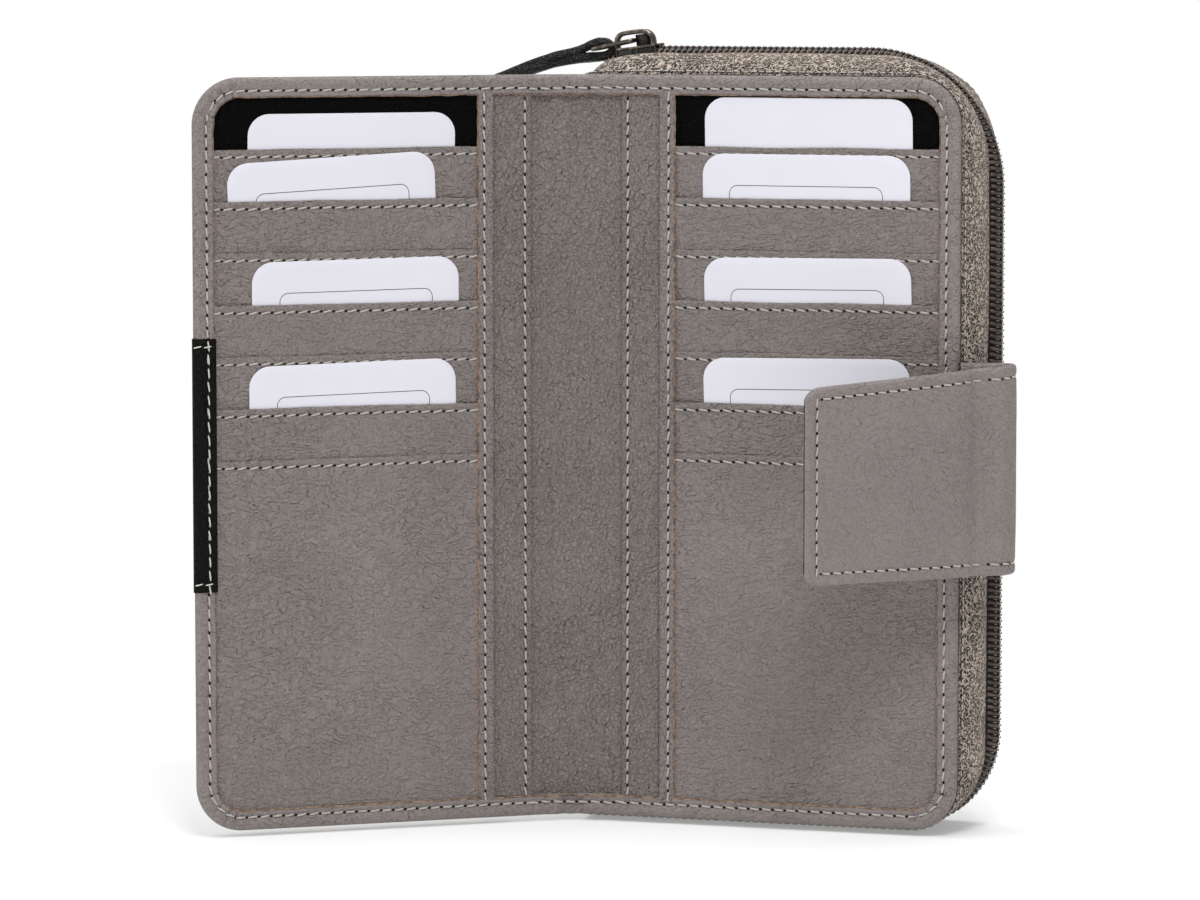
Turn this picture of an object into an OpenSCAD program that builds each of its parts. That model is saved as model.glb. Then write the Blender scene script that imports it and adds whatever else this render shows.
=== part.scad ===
// Wallet with a folding cover, a zip compartment and a closing tab.
// It stands open like a book. The right half lies along +X with its zip compartment behind it,
// and the left half swings forward from the spine. The floor is the plane of zero height.
// Each half is drawn in its own frame: X outwards from the spine fold, Y to the back, Z up.

/* [Covers] */
// Width of one half, from the spine fold to its outer edge
half_w = 100; // [96:1:106]
// Height of the covers
cover_h = 190; // [186:1:198]
// Angle between the two halves as the wallet stands open
open_angle = 145; // [130:1:160]
// Radius of the covers' outer corners
corner_r = 12; // [9:1:14]
// Thickness of a half along its turned edge
edge_t = 2; // [1.8:0.1:2.3]
// Distance over which a half swells from its edge to its full thickness
swell_w = 12; // [11:0.5:14]
// The same distance on the side of the spine
spine_swell_w = 8; // [7:0.5:9]
// Thickness of the cover leather
cover_t = 1; // [0.8:0.1:1.2]
// Width of the turned edge along the side
bind_side = 5.7; // [5:0.1:6.5]
// Width of the turned edge along the top and the bottom
bind_end = 5; // [4.5:0.1:6]
// Thickness of the turned edge's inner lip
lip_t = 0.5; // [0.4:0.1:0.6]
// Gap from the closing plane to each half's inner face
close_gap = 0.6; // [0.5:0.1:0.9]
// Half width of the soft leather between the two halves
spine_half_w = 11.6; // [11:0.2:12.4]

/* [Card pockets] */
// Distance from the top edge to the first pocket's edge
first_slot = 18.1; // [17:0.1:20]
// Height of the large pocket's edge above the covers' bottom
large_pocket_h = 93.9; // [88:0.1:100]
// Thickness of the pocket leather
pocket_t = 0.4; // [0.3:0.05:0.5]
// Height of a pocket's wide upper band
pocket_band_h = 20; // [16:1:22]
// Distance from the closing plane to the large front pocket
pocket_v = 1.4; // [1.3:0.05:1.6]
// Thickness of the black lining sheet
lining_t = 0.2; // [0.15:0.05:0.3]
// Thickness of the note divider's leather
divider_t = 0.5; // [0.4:0.05:0.6]
// Width of the strip that covers the pockets' inner ends
strip_w = 4; // [3.6:0.1:4.6]
// Width of the divider's band that shows beside the strip
band_w = 10.1; // [9.5:0.1:10.5]

/* [Cards] */
// Width of a card
card_w = 54; // [50:0.5:56]
// Height of a card
card_h = 85.6; // [80:0.2:86]
// Thickness of a card
card_t = 0.3; // [0.25:0.05:0.4]
// Radius of a card's corners
card_r = 5.5; // [3:0.5:7]
// Clearance on each face of a card
card_gap = 0.08; // [0.06:0.01:0.12]

/* [Zip compartment] */
// Distance from the closing plane to the middle of the zip
zip_v = 14.9; // [14.5:0.1:15.5]
// How far the zip band stands out beyond the cover's side
bulge_side = 7.5; // [6:0.1:8]
// How far it stands out above the cover's top
bulge_top = 6.6; // [5.6:0.1:7.5]
// How far it reaches below the cover's bottom
bulge_bottom = 1.6; // [1:0.1:2.5]
// Radius of the zip's corners
zip_r = 24; // [20:1:28]
// Width of the band's flat crest that holds the chain
crest_w = 10; // [9:0.5:11]
// Thickness of the zip's tape
tape_t = 0.8; // [0.7:0.1:1]
// Distance between the edges of the two tapes
tape_gap = 3; // [2.8:0.1:3.2]
// Distance between teeth on one tape
tooth_pitch = 3; // [2.8:0.1:3.6]
// Width of a tooth along the chain
tooth_w = 0.9; // [0.8:0.05:1.1]
// Thickness of a tooth
tooth_t = 1.6; // [1.4:0.1:1.8]
// How far the teeth of one tape reach over the middle of the chain
tooth_reach = 0.4; // [0.3:0.05:0.6]
// Thickness of the rear cover
rear_t = 1.2; // [1:0.1:1.5]
// Thickness of the compartment's wall along the spine
wall_t = 1.2; // [1:0.1:1.4]
// Thickness of the fabric lining, the coin pocket and the gussets
fabric_t = 0.6; // [0.5:0.1:0.8]
// Distance from the covers' bottom to the coin pocket
coin_z = 24; // [22:1:30]
// Height of the coin pocket
coin_h = 96; // [80:1:110]

/* [Slider] */
// Distance from the spine fold to the slider's nose
slider_u = 6.5; // [6:0.1:9]
// Length of the slider
slider_l = 10.4; // [9.6:0.1:11]
// Width of the slider
slider_w = 7.6; // [7.4:0.1:8.4]
// Thickness of the slider's plates
slider_t = 1.1; // [0.9:0.1:1.3]
// Clearance between the slider and the chain
slider_gap = 0.25; // [0.2:0.05:0.35]
// Height of the slider's bridge over its top plate
bridge_h = 3.3; // [3.2:0.1:3.8]
// Width of the bridge
bridge_w = 2.4; // [2:0.1:2.6]
// Length of the pull ring
ring_l = 12; // [10.5:0.5:14]
// Width of the pull ring
ring_w = 6.4; // [6:0.1:7.5]
// Thickness of the pull ring's wire
ring_t = 1.2; // [1:0.1:1.3]
// Angle by which the ring hangs down from level
ring_drop = 6; // [5:0.5:7]
// Length of the leather pull
thong_l = 44; // [36:1:50]
// Width of the leather pull
thong_w = 3.4; // [2.6:0.1:3.6]
// Thickness of one strand of the leather pull
thong_t = 1; // [0.8:0.1:1.1]
// Angle by which the leather pull hangs down from level
thong_drop = 20; // [16:1:24]

/* [Closing tab] */
// Height of the tab at its bend
tab_h = 52.8; // [46:0.2:60]
// Height of the tab at its free end
tab_end_h = 48.9; // [44:0.1:56]
// Height of the tab's lower corner above the covers' bottom
tab_z = 66; // [60:0.5:72]
// Thickness of the tab
tab_t = 2.4; // [2:0.1:2.6]
// Length of the tab from the cover's edge to its bend
tab_base_l = 9.9; // [9.6:0.1:11]
// Length of the flap from the bend to where it bends over the front cover
tab_mid_l = 15; // [13:0.5:17]
// Length of the tab's tip
tab_tip_l = 42.5; // [38:0.5:46]
// Radius of the tab's free corners
tab_r = 4; // [3:0.5:6]
// Angle between the tab's base and the right half, towards the back
tab_base_angle = 14; // [10:1:16]
// Angle between the flap and the right half, towards the front
tab_flap_angle = 44.5; // [40:0.5:50]
// How far the tab's bend opens as the covers close, as a share of their turn
tab_follow = 0.25; // [0.23:0.01:0.27]
// Angle kept between the tab's base and flap when the covers lie flat
fold_clear = 2; // [1:0.5:4]
// Diameter of the press stud's cap
snap_d = 12; // [10:0.5:14]
// Thickness of each half of the press stud
snap_t = 0.9; // [0.8:0.1:1.2]
// Height of the black leather patch on the left cover
patch_h = 63; // [58:0.5:68]
// Width of the patch on the outside of the left cover
patch_w = 52; // [46:1:60]
// Thickness of the patch
patch_t = 0.35; // [0.3:0.05:0.45]

/* [Hidden] */
$fn = 48;
soft_fn = 32;
// One overrun serves all cuts
over = 1;
// Clearance between seated sheets of one body
seat_gap = 0.05;
// Clearance between pieces that move past each other
run_gap = 0.3;
turn = 180 - open_angle;
slot_n = 7;
card_slots = [1, 2, 4, 6];
edge_v = close_gap + edge_t;
lip_v = close_gap + lip_t;
// Each step of a half's swell: share of the swell's width, share of its depth
swell_shares = [[0, 0], [0.1, 0], [0.2, 0.28], [0.5, 0.75], [1, 1]];

// Pocket 1 is the top one and lies deepest, the last pocket is the large front one
function has_card(k) = len([for (s = card_slots) if (s == k) s]) > 0;
function slot_gap(k) = has_card(k) ? card_t + 2 * card_gap : seat_gap;
function stack_v(k) = k >= slot_n ? 0 : stack_v(k + 1) + pocket_t + slot_gap(k + 1);
slot_pitch = (cover_h - first_slot - large_pocket_h) / (slot_n - 1);
function slot_z(k) = cover_h - first_slot - slot_pitch * (k - 1);
pivot_z = slot_z(slot_n);
tilt = atan(stack_v(1) / (slot_pitch * (slot_n - 1)));
lining_v = stack_v(1) + pocket_t + slot_gap(1);
strip_u = spine_half_w + band_w;
stack_u = strip_u + divider_t + run_gap + divider_t;
stack_end = half_w - bind_side / 2;
tongue_inset = swell_w * 2 / 3;
// The top lip lies behind the top card's path
top_lip_v = pocket_v + lining_v - (cover_h - bind_end - pivot_z) * tan(tilt) + card_gap;

// Places that follow the covers' width or a card's height
left_card_side_shares = [0.144, 0.109, 0.157, 0.151];
right_card_side_shares = [0.125, 0.13, 0.122, 0.122];
left_card_rise_shares = [0.102, 0.126, 0.129, 0.129];
right_card_rise_shares = [0.146, 0.132, 0.132, 0.14];
left_card_lean = [0, -3, -0.8, -1.2];
right_card_lean = [0, 0, 0.6, 0.8];
rise_shares = [left_card_rise_shares, right_card_rise_shares];
pocket_depth = (1 - min(left_card_rise_shares)) * card_h + 2 * card_gap;
// A half is as thick as its leaned cards need at their lower edges
function card_low_v(k, rise) = pocket_v + (stack_v(k) + pocket_t + card_gap + card_t) * cos(tilt)
    + (pivot_z - slot_z(k) + (1 - rise) * card_h) * sin(tilt);
card_back_v = max([for (r = rise_shares, n = [0 : len(card_slots) - 1]) card_low_v(card_slots[n], r[n])]);
back_v = card_back_v + run_gap + 2 * divider_t - seat_gap + cover_t;
inner_back_v = back_v - cover_t;
half_t = back_v - close_gap;

// The zip band: each level's share of the bulge at a distance from the zip's middle
zip_front_v = edge_v + seat_gap;
zip_half_v = zip_v - zip_front_v;
slope_v = zip_half_v - crest_w / 2;
band_shares = [[1, 0], [0.75, 0.55], [0.4, 0.86], [0, 1]];
band_u = wall_t;
rear_v = zip_v + zip_half_v;
crest_z = cover_h + bulge_top;
tooth_out = (tooth_t - tape_t) / 2;
tooth_start = slider_u + slider_l + 2 * run_gap;
hinge_gap = wall_t / 2;

bridge_eye_z = crest_z + tooth_out + slider_gap + slider_t + bridge_h / 2 - ring_t / 12;
eye_u = slider_u + slider_l / 2 - ring_t / 3;
ring_end_l = ring_l - 2 * ring_t;

tab_root_u = half_w + tab_t / 2 + seat_gap;
tab_root_v = close_gap + edge_t / 2;
tab_bend_u = tab_root_u + tab_base_l * cos(tab_base_angle);
tab_bend_v = tab_root_v + tab_base_l * sin(tab_base_angle);
tab_mid_z = tab_z + tab_h / 2;

// The whole part's box, which puts the origin under its middle
box_left = (half_w + patch_t) * cos(turn) + (edge_v + patch_t) * sin(turn);
box_right = tab_bend_u + tab_t / 2;
box_front = (half_w + patch_t) * sin(turn) - (close_gap - patch_t) * cos(turn);
box_back = rear_v + rear_t;
spine_x = (box_left - box_right) / 2;
spine_y = (box_front - box_back) / 2;

module right_half() {
    translate([spine_x, spine_y, bulge_bottom]) children();
}
module left_half() {
    translate([spine_x, spine_y, bulge_bottom]) mirror([1, 0, 0]) rotate([0, 0, -turn]) children();
}
// A sheet whose outline is drawn as width and height, its front face at v
module sheet(v, t) {
    translate([0, v + t, 0]) rotate([90, 0, 0]) linear_extrude(t) children();
}
// Lays a sheet back with the card pockets, about the large pocket's edge
module leaned() {
    translate([0, pocket_v, pivot_z]) rotate([tilt, 0, 0]) children();
}
// A rectangle from one corner to the other, its two outer corners round
module half_outline(u0, u1, z0, z1, r) {
    translate([u0, z0]) square([u1 - r - u0, z1 - z0]);
    translate([u0, z0 + r]) square([u1 - u0, z1 - z0 - 2 * r]);
    for (z = [z0 + r, z1 - r]) translate([u1 - r, z]) circle(r);
}
module round_rect(w, h, r) {
    translate([r, 0]) square([w - 2 * r, h]);
    translate([0, r]) square([w, h - 2 * r]);
    for (x = [r, w - r], z = [r, h - r]) translate([x, z]) circle(r);
}
// A half's outer form, thin at its edges and swollen behind; g takes it in by a wall.
// Outside, its rim stays flat, because the zip's tape stands on it.
module swell(g) {
    v0 = close_gap + (g > 0 ? lip_t : g);
    sheet(v0, edge_v - g - v0)
        half_outline(spine_half_w, half_w - g, g, cover_h - g, corner_r - g, $fn = soft_fn);
    hull() for (i = [g > 0 ? 0 : 1 : len(swell_shares) - 1]) {
        s = swell_shares[i];
        inset = s[0] * swell_w + g;
        u0 = spine_half_w + s[0] * spine_swell_w;
        sheet(v0, edge_v + s[1] * (half_t - edge_t) - g - v0)
            half_outline(u0, half_w - inset, inset, cover_h - inset, corner_r - g, $fn = soft_fn);
    }
}
// The leather of one half with its edge turned over to the inside
module half_shell() {
    top_z = cover_h - bind_end;
    difference() {
        swell(0);
        swell(cover_t);
        sheet(close_gap - over, lip_t + 2 * over)
            half_outline(spine_half_w - over, half_w - bind_side, bind_end, top_z, corner_r / 3);
        translate([spine_half_w - over, close_gap - over, top_z])
            cube([half_w + over, over + top_lip_v - close_gap, bind_end + over]);
        translate([spine_half_w - over, lip_v, cover_t])
            cube([2 * over, edge_v - lip_v - cover_t, cover_h - 2 * cover_t]);
    }
    intersection() {
        swell(cover_t);
        translate([spine_half_w, top_lip_v, top_z]) cube([half_w, lip_t, bind_end]);
    }
}
module lining_sheet() {
    wide_z = slot_z(1) - slot_pitch / 2 - pivot_z;
    leaned() sheet(lining_v, lining_t) {
        translate([stack_u, wide_z])
            square([half_w - bind_side * 5 / 6 - stack_u, cover_h - bind_end - seat_gap - pivot_z - wide_z]);
        translate([stack_u + strip_w, 0]) square([half_w - swell_w - stack_u - strip_w, wide_z + over]);
    }
}
// The band beside the strip, a step back behind the pockets and the sheet behind them
module note_divider() {
    deep_v = inner_back_v - 2 * divider_t + seat_gap;
    low = swell_w + 2 * cover_t;
    translate([spine_half_w, lip_v, bind_end])
        cube([band_w + 2 * divider_t, divider_t, cover_h - 2 * bind_end]);
    translate([strip_u, lip_v, low]) cube([divider_t, deep_v + divider_t - lip_v, cover_h - 2 * low]);
    translate([strip_u, deep_v, low]) cube([half_w - low - strip_u, divider_t, cover_h - 2 * low]);
}
module edge_strip() {
    translate([strip_u, close_gap, bind_end]) cube([strip_w, lip_t, cover_h - 2 * bind_end]);
}
// Pocket k: a wide band that shows and a narrower tongue that holds the card
module pocket(k) {
    if (k == slot_n) {
        sheet(pocket_v, pocket_t)
            half_outline(stack_u, half_w - bind_side / 3, bind_end / 2, pivot_z, corner_r / 3);
    } else {
        edge_z = slot_z(k) - pivot_z;
        leaned() sheet(stack_v(k), pocket_t) {
            translate([stack_u, edge_z - pocket_band_h])
                square([stack_end - stack_u, pocket_band_h]);
            translate([stack_u + strip_w, edge_z - pocket_depth])
                square([half_w - tongue_inset - stack_u - strip_w, pocket_depth]);
        }
    }
}
// Card n of one half, in its pocket, its top edge above the pocket's edge
module card(n, side_shares, rise_shares, leans) {
    k = card_slots[n];
    side = side_shares[n] * half_w;
    rise = rise_shares[n] * card_h;
    leaned() sheet(stack_v(k) + pocket_t + card_gap, card_t)
        translate([half_w - side - card_w / 2, slot_z(k) - pivot_z + rise - card_h / 2])
            rotate([0, 0, leans[n]]) translate([-card_w / 2, -card_h / 2]) round_rect(card_w, card_h, card_r);
}
// A point of one half's frame, seen in the right half's frame: side 1 is the right half
function half_point(side, u, v) = side > 0 ? [u, v] :
    [-u * cos(turn) - v * sin(turn), v * cos(turn) - u * sin(turn)];
// A strip of the spine that bends at the fold, reaching u1 on both halves
module spine_strip(v, t, z0, h, u1) {
    k = -tan(turn / 2);
    translate([0, 0, z0]) linear_extrude(h) polygon([half_point(-1, u1, v), [v * k, v], [u1, v],
        [u1, v + t], [(v + t) * k, v + t], half_point(-1, u1, v + t)]);
}

module front_cover() { color("#7c7571") left_half() half_shell(); }
module middle_wall() { color("#6f6864") right_half() half_shell(); }
// The patch wraps the left cover's outer edge, where the tab closes over it
module front_patch() {
    color("#171515") left_half() intersection() {
        difference() {
            swell(-patch_t);
            swell(0);
            cube([half_w - bind_side, lip_v, cover_h]);
        }
        translate([half_w - patch_w, -over, tab_mid_z - patch_h / 2])
            cube([patch_w + 2 * over, back_v + 2 * over, patch_h]);
    }
}
// Turn of the tab's base when the tab is fastened
root_swing = 38;
base_swung = tab_base_angle - root_swing;
flap_swung = base_swung + tab_flap_angle - tab_base_angle - tab_follow * open_angle;
snap_u = tab_root_u + tab_base_l * cos(base_swung) - tab_mid_l * cos(flap_swung) - (tab_tip_l - snap_d);
module front_snap_stud() {
    color("#4a4440") left_half() translate([snap_u, back_v + patch_t, tab_mid_z]) rotate([-90, 0, 0]) {
        cylinder(d = snap_d, h = snap_t / 3);
        cylinder(d = snap_d / 2, h = snap_t);
    }
}
module front_lining() { color("#0d0b0b") left_half() lining_sheet(); }
module back_lining() { color("#0d0b0b") right_half() lining_sheet(); }
module front_note_divider() { color("#7c7571") left_half() note_divider(); }
module back_note_divider() { color("#7c7571") right_half() note_divider(); }
module front_edge_strip() { color("#827b77") left_half() edge_strip(); }
module back_edge_strip() { color("#827b77") right_half() edge_strip(); }
module front_pocket(k) { color("#7e7773") left_half() pocket(k); }
module back_pocket(k) { color("#7e7773") right_half() pocket(k); }
module front_card(n) {
    color("#e4e3ea") left_half() card(n, left_card_side_shares, left_card_rise_shares, left_card_lean);
}
module back_card(n) {
    color("#e4e3ea") right_half() card(n, right_card_side_shares, right_card_rise_shares, right_card_lean);
}
spine_t = (edge_v - lip_v - divider_t) / 2;
spine_v = lip_v + divider_t;
// The leather seen between the halves, with its turned ends at the top and the bottom
module spine_lining() {
    color("#736c69") right_half() {
        spine_strip(spine_v, spine_t, bind_end, cover_h - 2 * bind_end, spine_half_w);
        for (z = [0, cover_h - bind_end])
            spine_strip(lip_v, spine_v + spine_t - lip_v, z, bind_end, spine_half_w);
    }
}
module spine_cover() {
    color("#7c7571") right_half() spine_strip(spine_v + spine_t, spine_t, 0, cover_h, spine_half_w);
}

// The zip band's outline at a share f of its bulge, taken in by g
module band_outline(f, g) {
    half_outline(band_u, half_w + bulge_side * f - g, g - bulge_bottom * f,
        cover_h + bulge_top * f - g, corner_r + (zip_r - corner_r) * f - g, $fn = soft_fn);
}
module band_form(g) {
    hull() for (s = band_shares, side = [-1, 1])
        sheet(zip_v + side * (crest_w / 2 + s[0] * slope_v) - seat_gap / 2, seat_gap) band_outline(s[1], g);
}
module band_slab(u0, u1, v0, v1) {
    translate([u0, v0, -over - bulge_bottom])
        cube([u1 - u0, v1 - v0, cover_h + bulge_top + bulge_bottom + 2 * over]);
}
// The tape between two distances from the closing plane, a shell round three sides
module tape(v0, v1) {
    intersection() {
        difference() {
            band_form(0);
            band_form(tape_t);
            sheet(zip_front_v - over, rear_v - zip_front_v + 2 * over) band_outline(0, tape_t);
        }
        band_slab(band_u + wall_t, half_w + 2 * bulge_side, v0, v1);
    }
}
// The compartment's wall along the spine, shaped to the band's ends and clear of the leather pull
module spine_wall(v0, v1) {
    intersection() {
        band_form(0);
        translate([band_u, v0, -over - bulge_bottom])
            cube([wall_t, v1 - v0, over + bulge_bottom + crest_z - wall_t]);
    }
}
// A point s along the zip's crest: its place and the turn of its outward normal.
// The chain lies flush along the bottom, where the wallet stands on it.
run_u = half_w + bulge_side - zip_r;
run_top = run_u - tooth_start;
run_arc = zip_r * PI / 2;
run_low_z = tooth_out - bulge_bottom;
run_side = crest_z - run_low_z - 2 * zip_r;
run_all = 2 * run_top + 2 * run_arc + run_side;
function on_arc(a, z) = [run_u + zip_r * sin(a), z + zip_r * cos(a), -a];
function zip_point(s) =
    s < run_top ? [tooth_start + s, crest_z, 0] :
    s < run_top + run_arc ? on_arc((s - run_top) / run_arc * 90, crest_z - zip_r) :
    s < run_top + run_arc + run_side ?
        [run_u + zip_r, crest_z - zip_r - (s - run_top - run_arc), -90] :
    s < run_top + 2 * run_arc + run_side ?
        on_arc(90 + (s - run_top - run_arc - run_side) / run_arc * 90, run_low_z + zip_r) :
    [run_u - (s - run_top - 2 * run_arc - run_side), run_low_z, -180];
// Teeth along one tape from its edge to beyond the chain's middle, on a cord
module teeth(side, first) {
    edge = tape_gap / 2;
    cord = edge / 4;
    n = floor((run_all - first - tooth_w) / tooth_pitch);
    translate([0, zip_v, 0]) {
        for (i = [0:n]) {
            p = zip_point(first + i * tooth_pitch + tooth_w / 2);
            translate([p[0], 0, p[1]]) rotate([0, -p[2], 0])
                translate([-tooth_w / 2, side > 0 ? -tooth_reach : -edge, -tape_t - tooth_out])
                    cube([tooth_w, edge + tooth_reach, tooth_t]);
        }
        translate([0, side > 0 ? edge - cord : -edge, 0]) sheet(0, cord) difference() {
            half_outline(tooth_start, half_w + bulge_side, -bulge_bottom, crest_z, zip_r);
            half_outline(tooth_start - over, half_w + bulge_side - tape_t, tape_t - bulge_bottom,
                crest_z - tape_t, zip_r - tape_t);
        }
    }
}
module front_zip_tape() { color("#8b827c") right_half() tape(zip_front_v, zip_v - tape_gap / 2); }
module rear_zip_tape() { color("#8b827c") right_half() tape(zip_v + tape_gap / 2, rear_v); }
module front_zip_teeth() { color("#4f4643") right_half() teeth(-1, 0); }
module rear_zip_teeth() { color("#4f4643") right_half() teeth(1, tooth_pitch / 2); }

// The compartment's wall along the spine, in two halves that part at the zip's middle
module front_spine_wall() { color("#7c7571") right_half() spine_wall(zip_front_v, zip_v - hinge_gap); }
module rear_spine_wall() { color("#7c7571") right_half() spine_wall(zip_v + hinge_gap, rear_v); }
module rear_cover() {
    color("#7c7571") right_half() sheet(rear_v, rear_t)
        half_outline(band_u, half_w, 0, cover_h, corner_r);
}
module rear_lining() {
    inset = tape_t + run_gap;
    color("#1a1717") right_half() sheet(rear_v - fabric_t, fabric_t)
        half_outline(band_u + wall_t + run_gap, half_w - inset, inset, cover_h - inset, corner_r - inset);
}
// A flat pocket for coins on the compartment's side of the middle wall
module coin_pocket() {
    u0 = spine_half_w + spine_swell_w;
    u1 = half_w - swell_w - over;
    color("#1a1717") right_half() {
        sheet(back_v + fabric_t, fabric_t) half_outline(u0, u1, coin_z, coin_z + coin_h, corner_r / 2);
        translate([u0, back_v, coin_z]) cube([u1 - corner_r - u0, fabric_t, fabric_t]);
    }
}
// A sheet folded once, from the middle wall to the rear lining, that fans out as the compartment opens
module gusset() {
    v0 = back_v + seat_gap;
    v1 = rear_v - fabric_t - seat_gap;
    fold = corner_r * 2 / 3;
    t = fabric_t;
    translate([swell_w, 0, 0]) rotate([90, 0, 90]) linear_extrude(gusset_w)
        polygon([[v0, 0], [(v0 + v1) / 2, -fold], [v1, 0], [v1, t], [(v0 + v1) / 2, t - fold], [v0, t]]);
}
gusset_inset = swell_w + 2 * fabric_t;
gusset_w = half_w * 0.38;
module top_gusset() {
    color("#1a1717") right_half() translate([0, 0, cover_h - gusset_inset]) gusset();
}
module bottom_gusset() {
    color("#1a1717") right_half() translate([0, 0, gusset_inset]) mirror([0, 0, 1]) gusset();
}

// The slider: two plates with flanges, joined by a post, and a bridge for the ring
module slider_outline() {
    w = slider_w / 2;
    nose = w * 0.8;
    l = slider_l;
    polygon([[0, -nose], [l * 0.3, -w], [l * 0.72, -w], [l, -nose], [l, nose], [l * 0.72, w], [l * 0.3, w], [0, nose]]);
}
module slider_plates() {
    low_z = crest_z - tape_t - tooth_out - slider_gap;
    high_z = crest_z + tooth_out + slider_gap;
    channel_w = tape_gap + 2 * slider_gap + tooth_w;
    translate([0, 0, high_z]) linear_extrude(slider_t) slider_outline();
    translate([0, 0, low_z - slider_t]) linear_extrude(slider_t) slider_outline();
    for (z = [[crest_z + slider_gap, high_z + slider_t / 2], [low_z - slider_t / 2, crest_z - tape_t - slider_gap]])
        translate([0, 0, z[0]]) linear_extrude(z[1] - z[0]) difference() {
            slider_outline();
            translate([-over, -channel_w / 2]) square([slider_l + 2 * over, channel_w]);
        }
    translate([slider_l * 0.06, -tape_gap / 5, low_z - slider_t / 2])
        cube([slider_l / 8, tape_gap * 2 / 5, high_z - low_z + slider_t]);
}
module slider_bridge() {
    foot_z = crest_z + tooth_out + slider_gap + slider_t / 2;
    top_z = foot_z + slider_t / 2 + bridge_h;
    l = slider_l;
    wall = slider_t * 0.8;
    translate([0, bridge_w / 2, 0]) rotate([90, 0, 0]) linear_extrude(bridge_w) difference() {
        polygon([[l * 0.05, foot_z], [l * 0.12, top_z - wall], [l * 0.25, top_z], [l * 0.85, top_z],
            [l * 0.97, top_z - wall], [l, foot_z]]);
        polygon([[l * 0.05 + wall, foot_z + slider_t / 2], [l * 0.12 + wall, top_z - 1.4 * wall],
            [l * 0.25 + wall / 2, top_z - wall], [l * 0.85 - wall / 2, top_z - wall],
            [l * 0.97 - wall, top_z - 1.4 * wall], [l - wall, foot_z + slider_t / 2]]);
    }
}
module zip_slider() {
    color("#37322f") right_half() translate([slider_u, zip_v, 0]) {
        slider_plates();
        slider_bridge();
    }
}
// Places a piece of the pull at the bridge's eye, hanging down by an angle, X away from the eye
module from_eye(drop) {
    right_half() translate([eye_u, zip_v, bridge_eye_z]) rotate([0, -drop, 0]) mirror([1, 0, 0]) children();
}
module pull_ring() {
    color("#3d3733") from_eye(ring_drop) translate([-ring_t / 2, 0, -ring_t / 2]) linear_extrude(ring_t)
        difference() {
            translate([0, -ring_w / 2]) round_rect(ring_l, ring_w, ring_t);
            translate([ring_t, ring_t - ring_w / 2]) round_rect(ring_end_l, ring_w - 2 * ring_t, ring_t / 2);
        }
}
// The leather pull: a loop round the ring's far bar and two strands side by side
ring_far = ring_l - ring_t;
module pull_thong() {
    loop_r = ring_t / 2 * sqrt(2) + run_gap / 2;
    color("#191717") from_eye(ring_drop) translate([ring_far, 0, 0]) rotate([0, thong_drop - ring_drop, 0])
        translate([0, thong_w / 2, 0]) rotate([90, 0, 0]) linear_extrude(thong_w) {
            difference() {
                union() {
                    circle(loop_r + thong_t);
                    translate([0, -thong_t]) square([thong_l, 2 * thong_t]);
                }
                circle(loop_r);
            }
        }
}

// A strap's stretch along X from a round joint, as high as the tab there
module strap(l, h0, h1, z0, z1, r) {
    rotate([90, 0, 0]) translate([0, 0, -tab_t / 2]) linear_extrude(tab_t)
        if (r > 0) difference() {
            polygon([[0, z0], [l, z1], [l, z1 + h1], [0, z0 + h0]]);
            for (s = [[z1, 0], [z1 + h1, 1]]) translate([l, s[0]]) mirror([0, s[1], 0]) difference() {
                translate([-r, -over]) square([r + over, r + over]);
                translate([-r, r]) circle(r);
            }
        } else polygon([[0, z0], [l, z1], [l, z1 + h1], [0, z0 + h0]]);
}
module knuckle(z, h) { translate([0, 0, z]) cylinder(d = tab_t, h = h); }
tab_flap_l = tab_mid_l + tab_tip_l;
mid_share = tab_mid_l / tab_flap_l;
tab_mid_h = tab_h + (tab_end_h - tab_h) * mid_share;
tab_end_z = tab_z - bulge_bottom / 5;
tab_mid_low = tab_z + (tab_end_z - tab_z) * mid_share;
cut_l = tab_t / 2 + run_gap / 3;
fold_half = (tab_flap_angle - tab_base_angle - tab_follow * turn - fold_clear) / 2;
module from_bend() {
    right_half() translate([tab_bend_u, tab_bend_v, 0]) rotate([0, 0, 180 + tab_flap_angle]) children();
}
// What is skived off each side of the fold, so that the tab folds flat
module fold_wedge() {
    l = tab_base_l;
    translate([0, 0, tab_z - over]) linear_extrude(tab_h + 2 * over)
        polygon([[0, 0], [l * cos(fold_half), -l * sin(fold_half)], [l, -tab_t], [0, -tab_t]]);
}
// The tab's first stretch, from the cover's edge out in front of the zip's tape
module tab_base() {
    color("#7f7874") right_half() translate([tab_root_u, tab_root_v, 0]) rotate([0, 0, tab_base_angle]) {
        knuckle(tab_z, tab_h);
        difference() {
            strap(tab_base_l, tab_h, tab_h, tab_z, tab_z, 0);
            translate([tab_base_l, 0, tab_z - over]) cylinder(r = cut_l, h = tab_h + 2 * over);
            translate([tab_base_l, 0, 0]) mirror([1, 0, 0]) fold_wedge();
        }
    }
}
module tab_middle() {
    color("#7f7874") from_bend() {
        knuckle(tab_z, tab_h);
        difference() {
            strap(tab_mid_l, tab_h, tab_mid_h, tab_z, tab_mid_low, 0);
            fold_wedge();
            translate([tab_mid_l - cut_l, -tab_t, tab_end_z]) cube([2 * cut_l, 2 * tab_t, 2 * tab_h]);
        }
    }
}
module tab_tip() {
    color("#7f7874") from_bend() translate([tab_mid_l, 0, 0]) {
        knuckle(tab_mid_low, tab_mid_h);
        strap(tab_tip_l, tab_mid_h, tab_end_h, tab_mid_low, tab_end_z, tab_r);
    }
}
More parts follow.
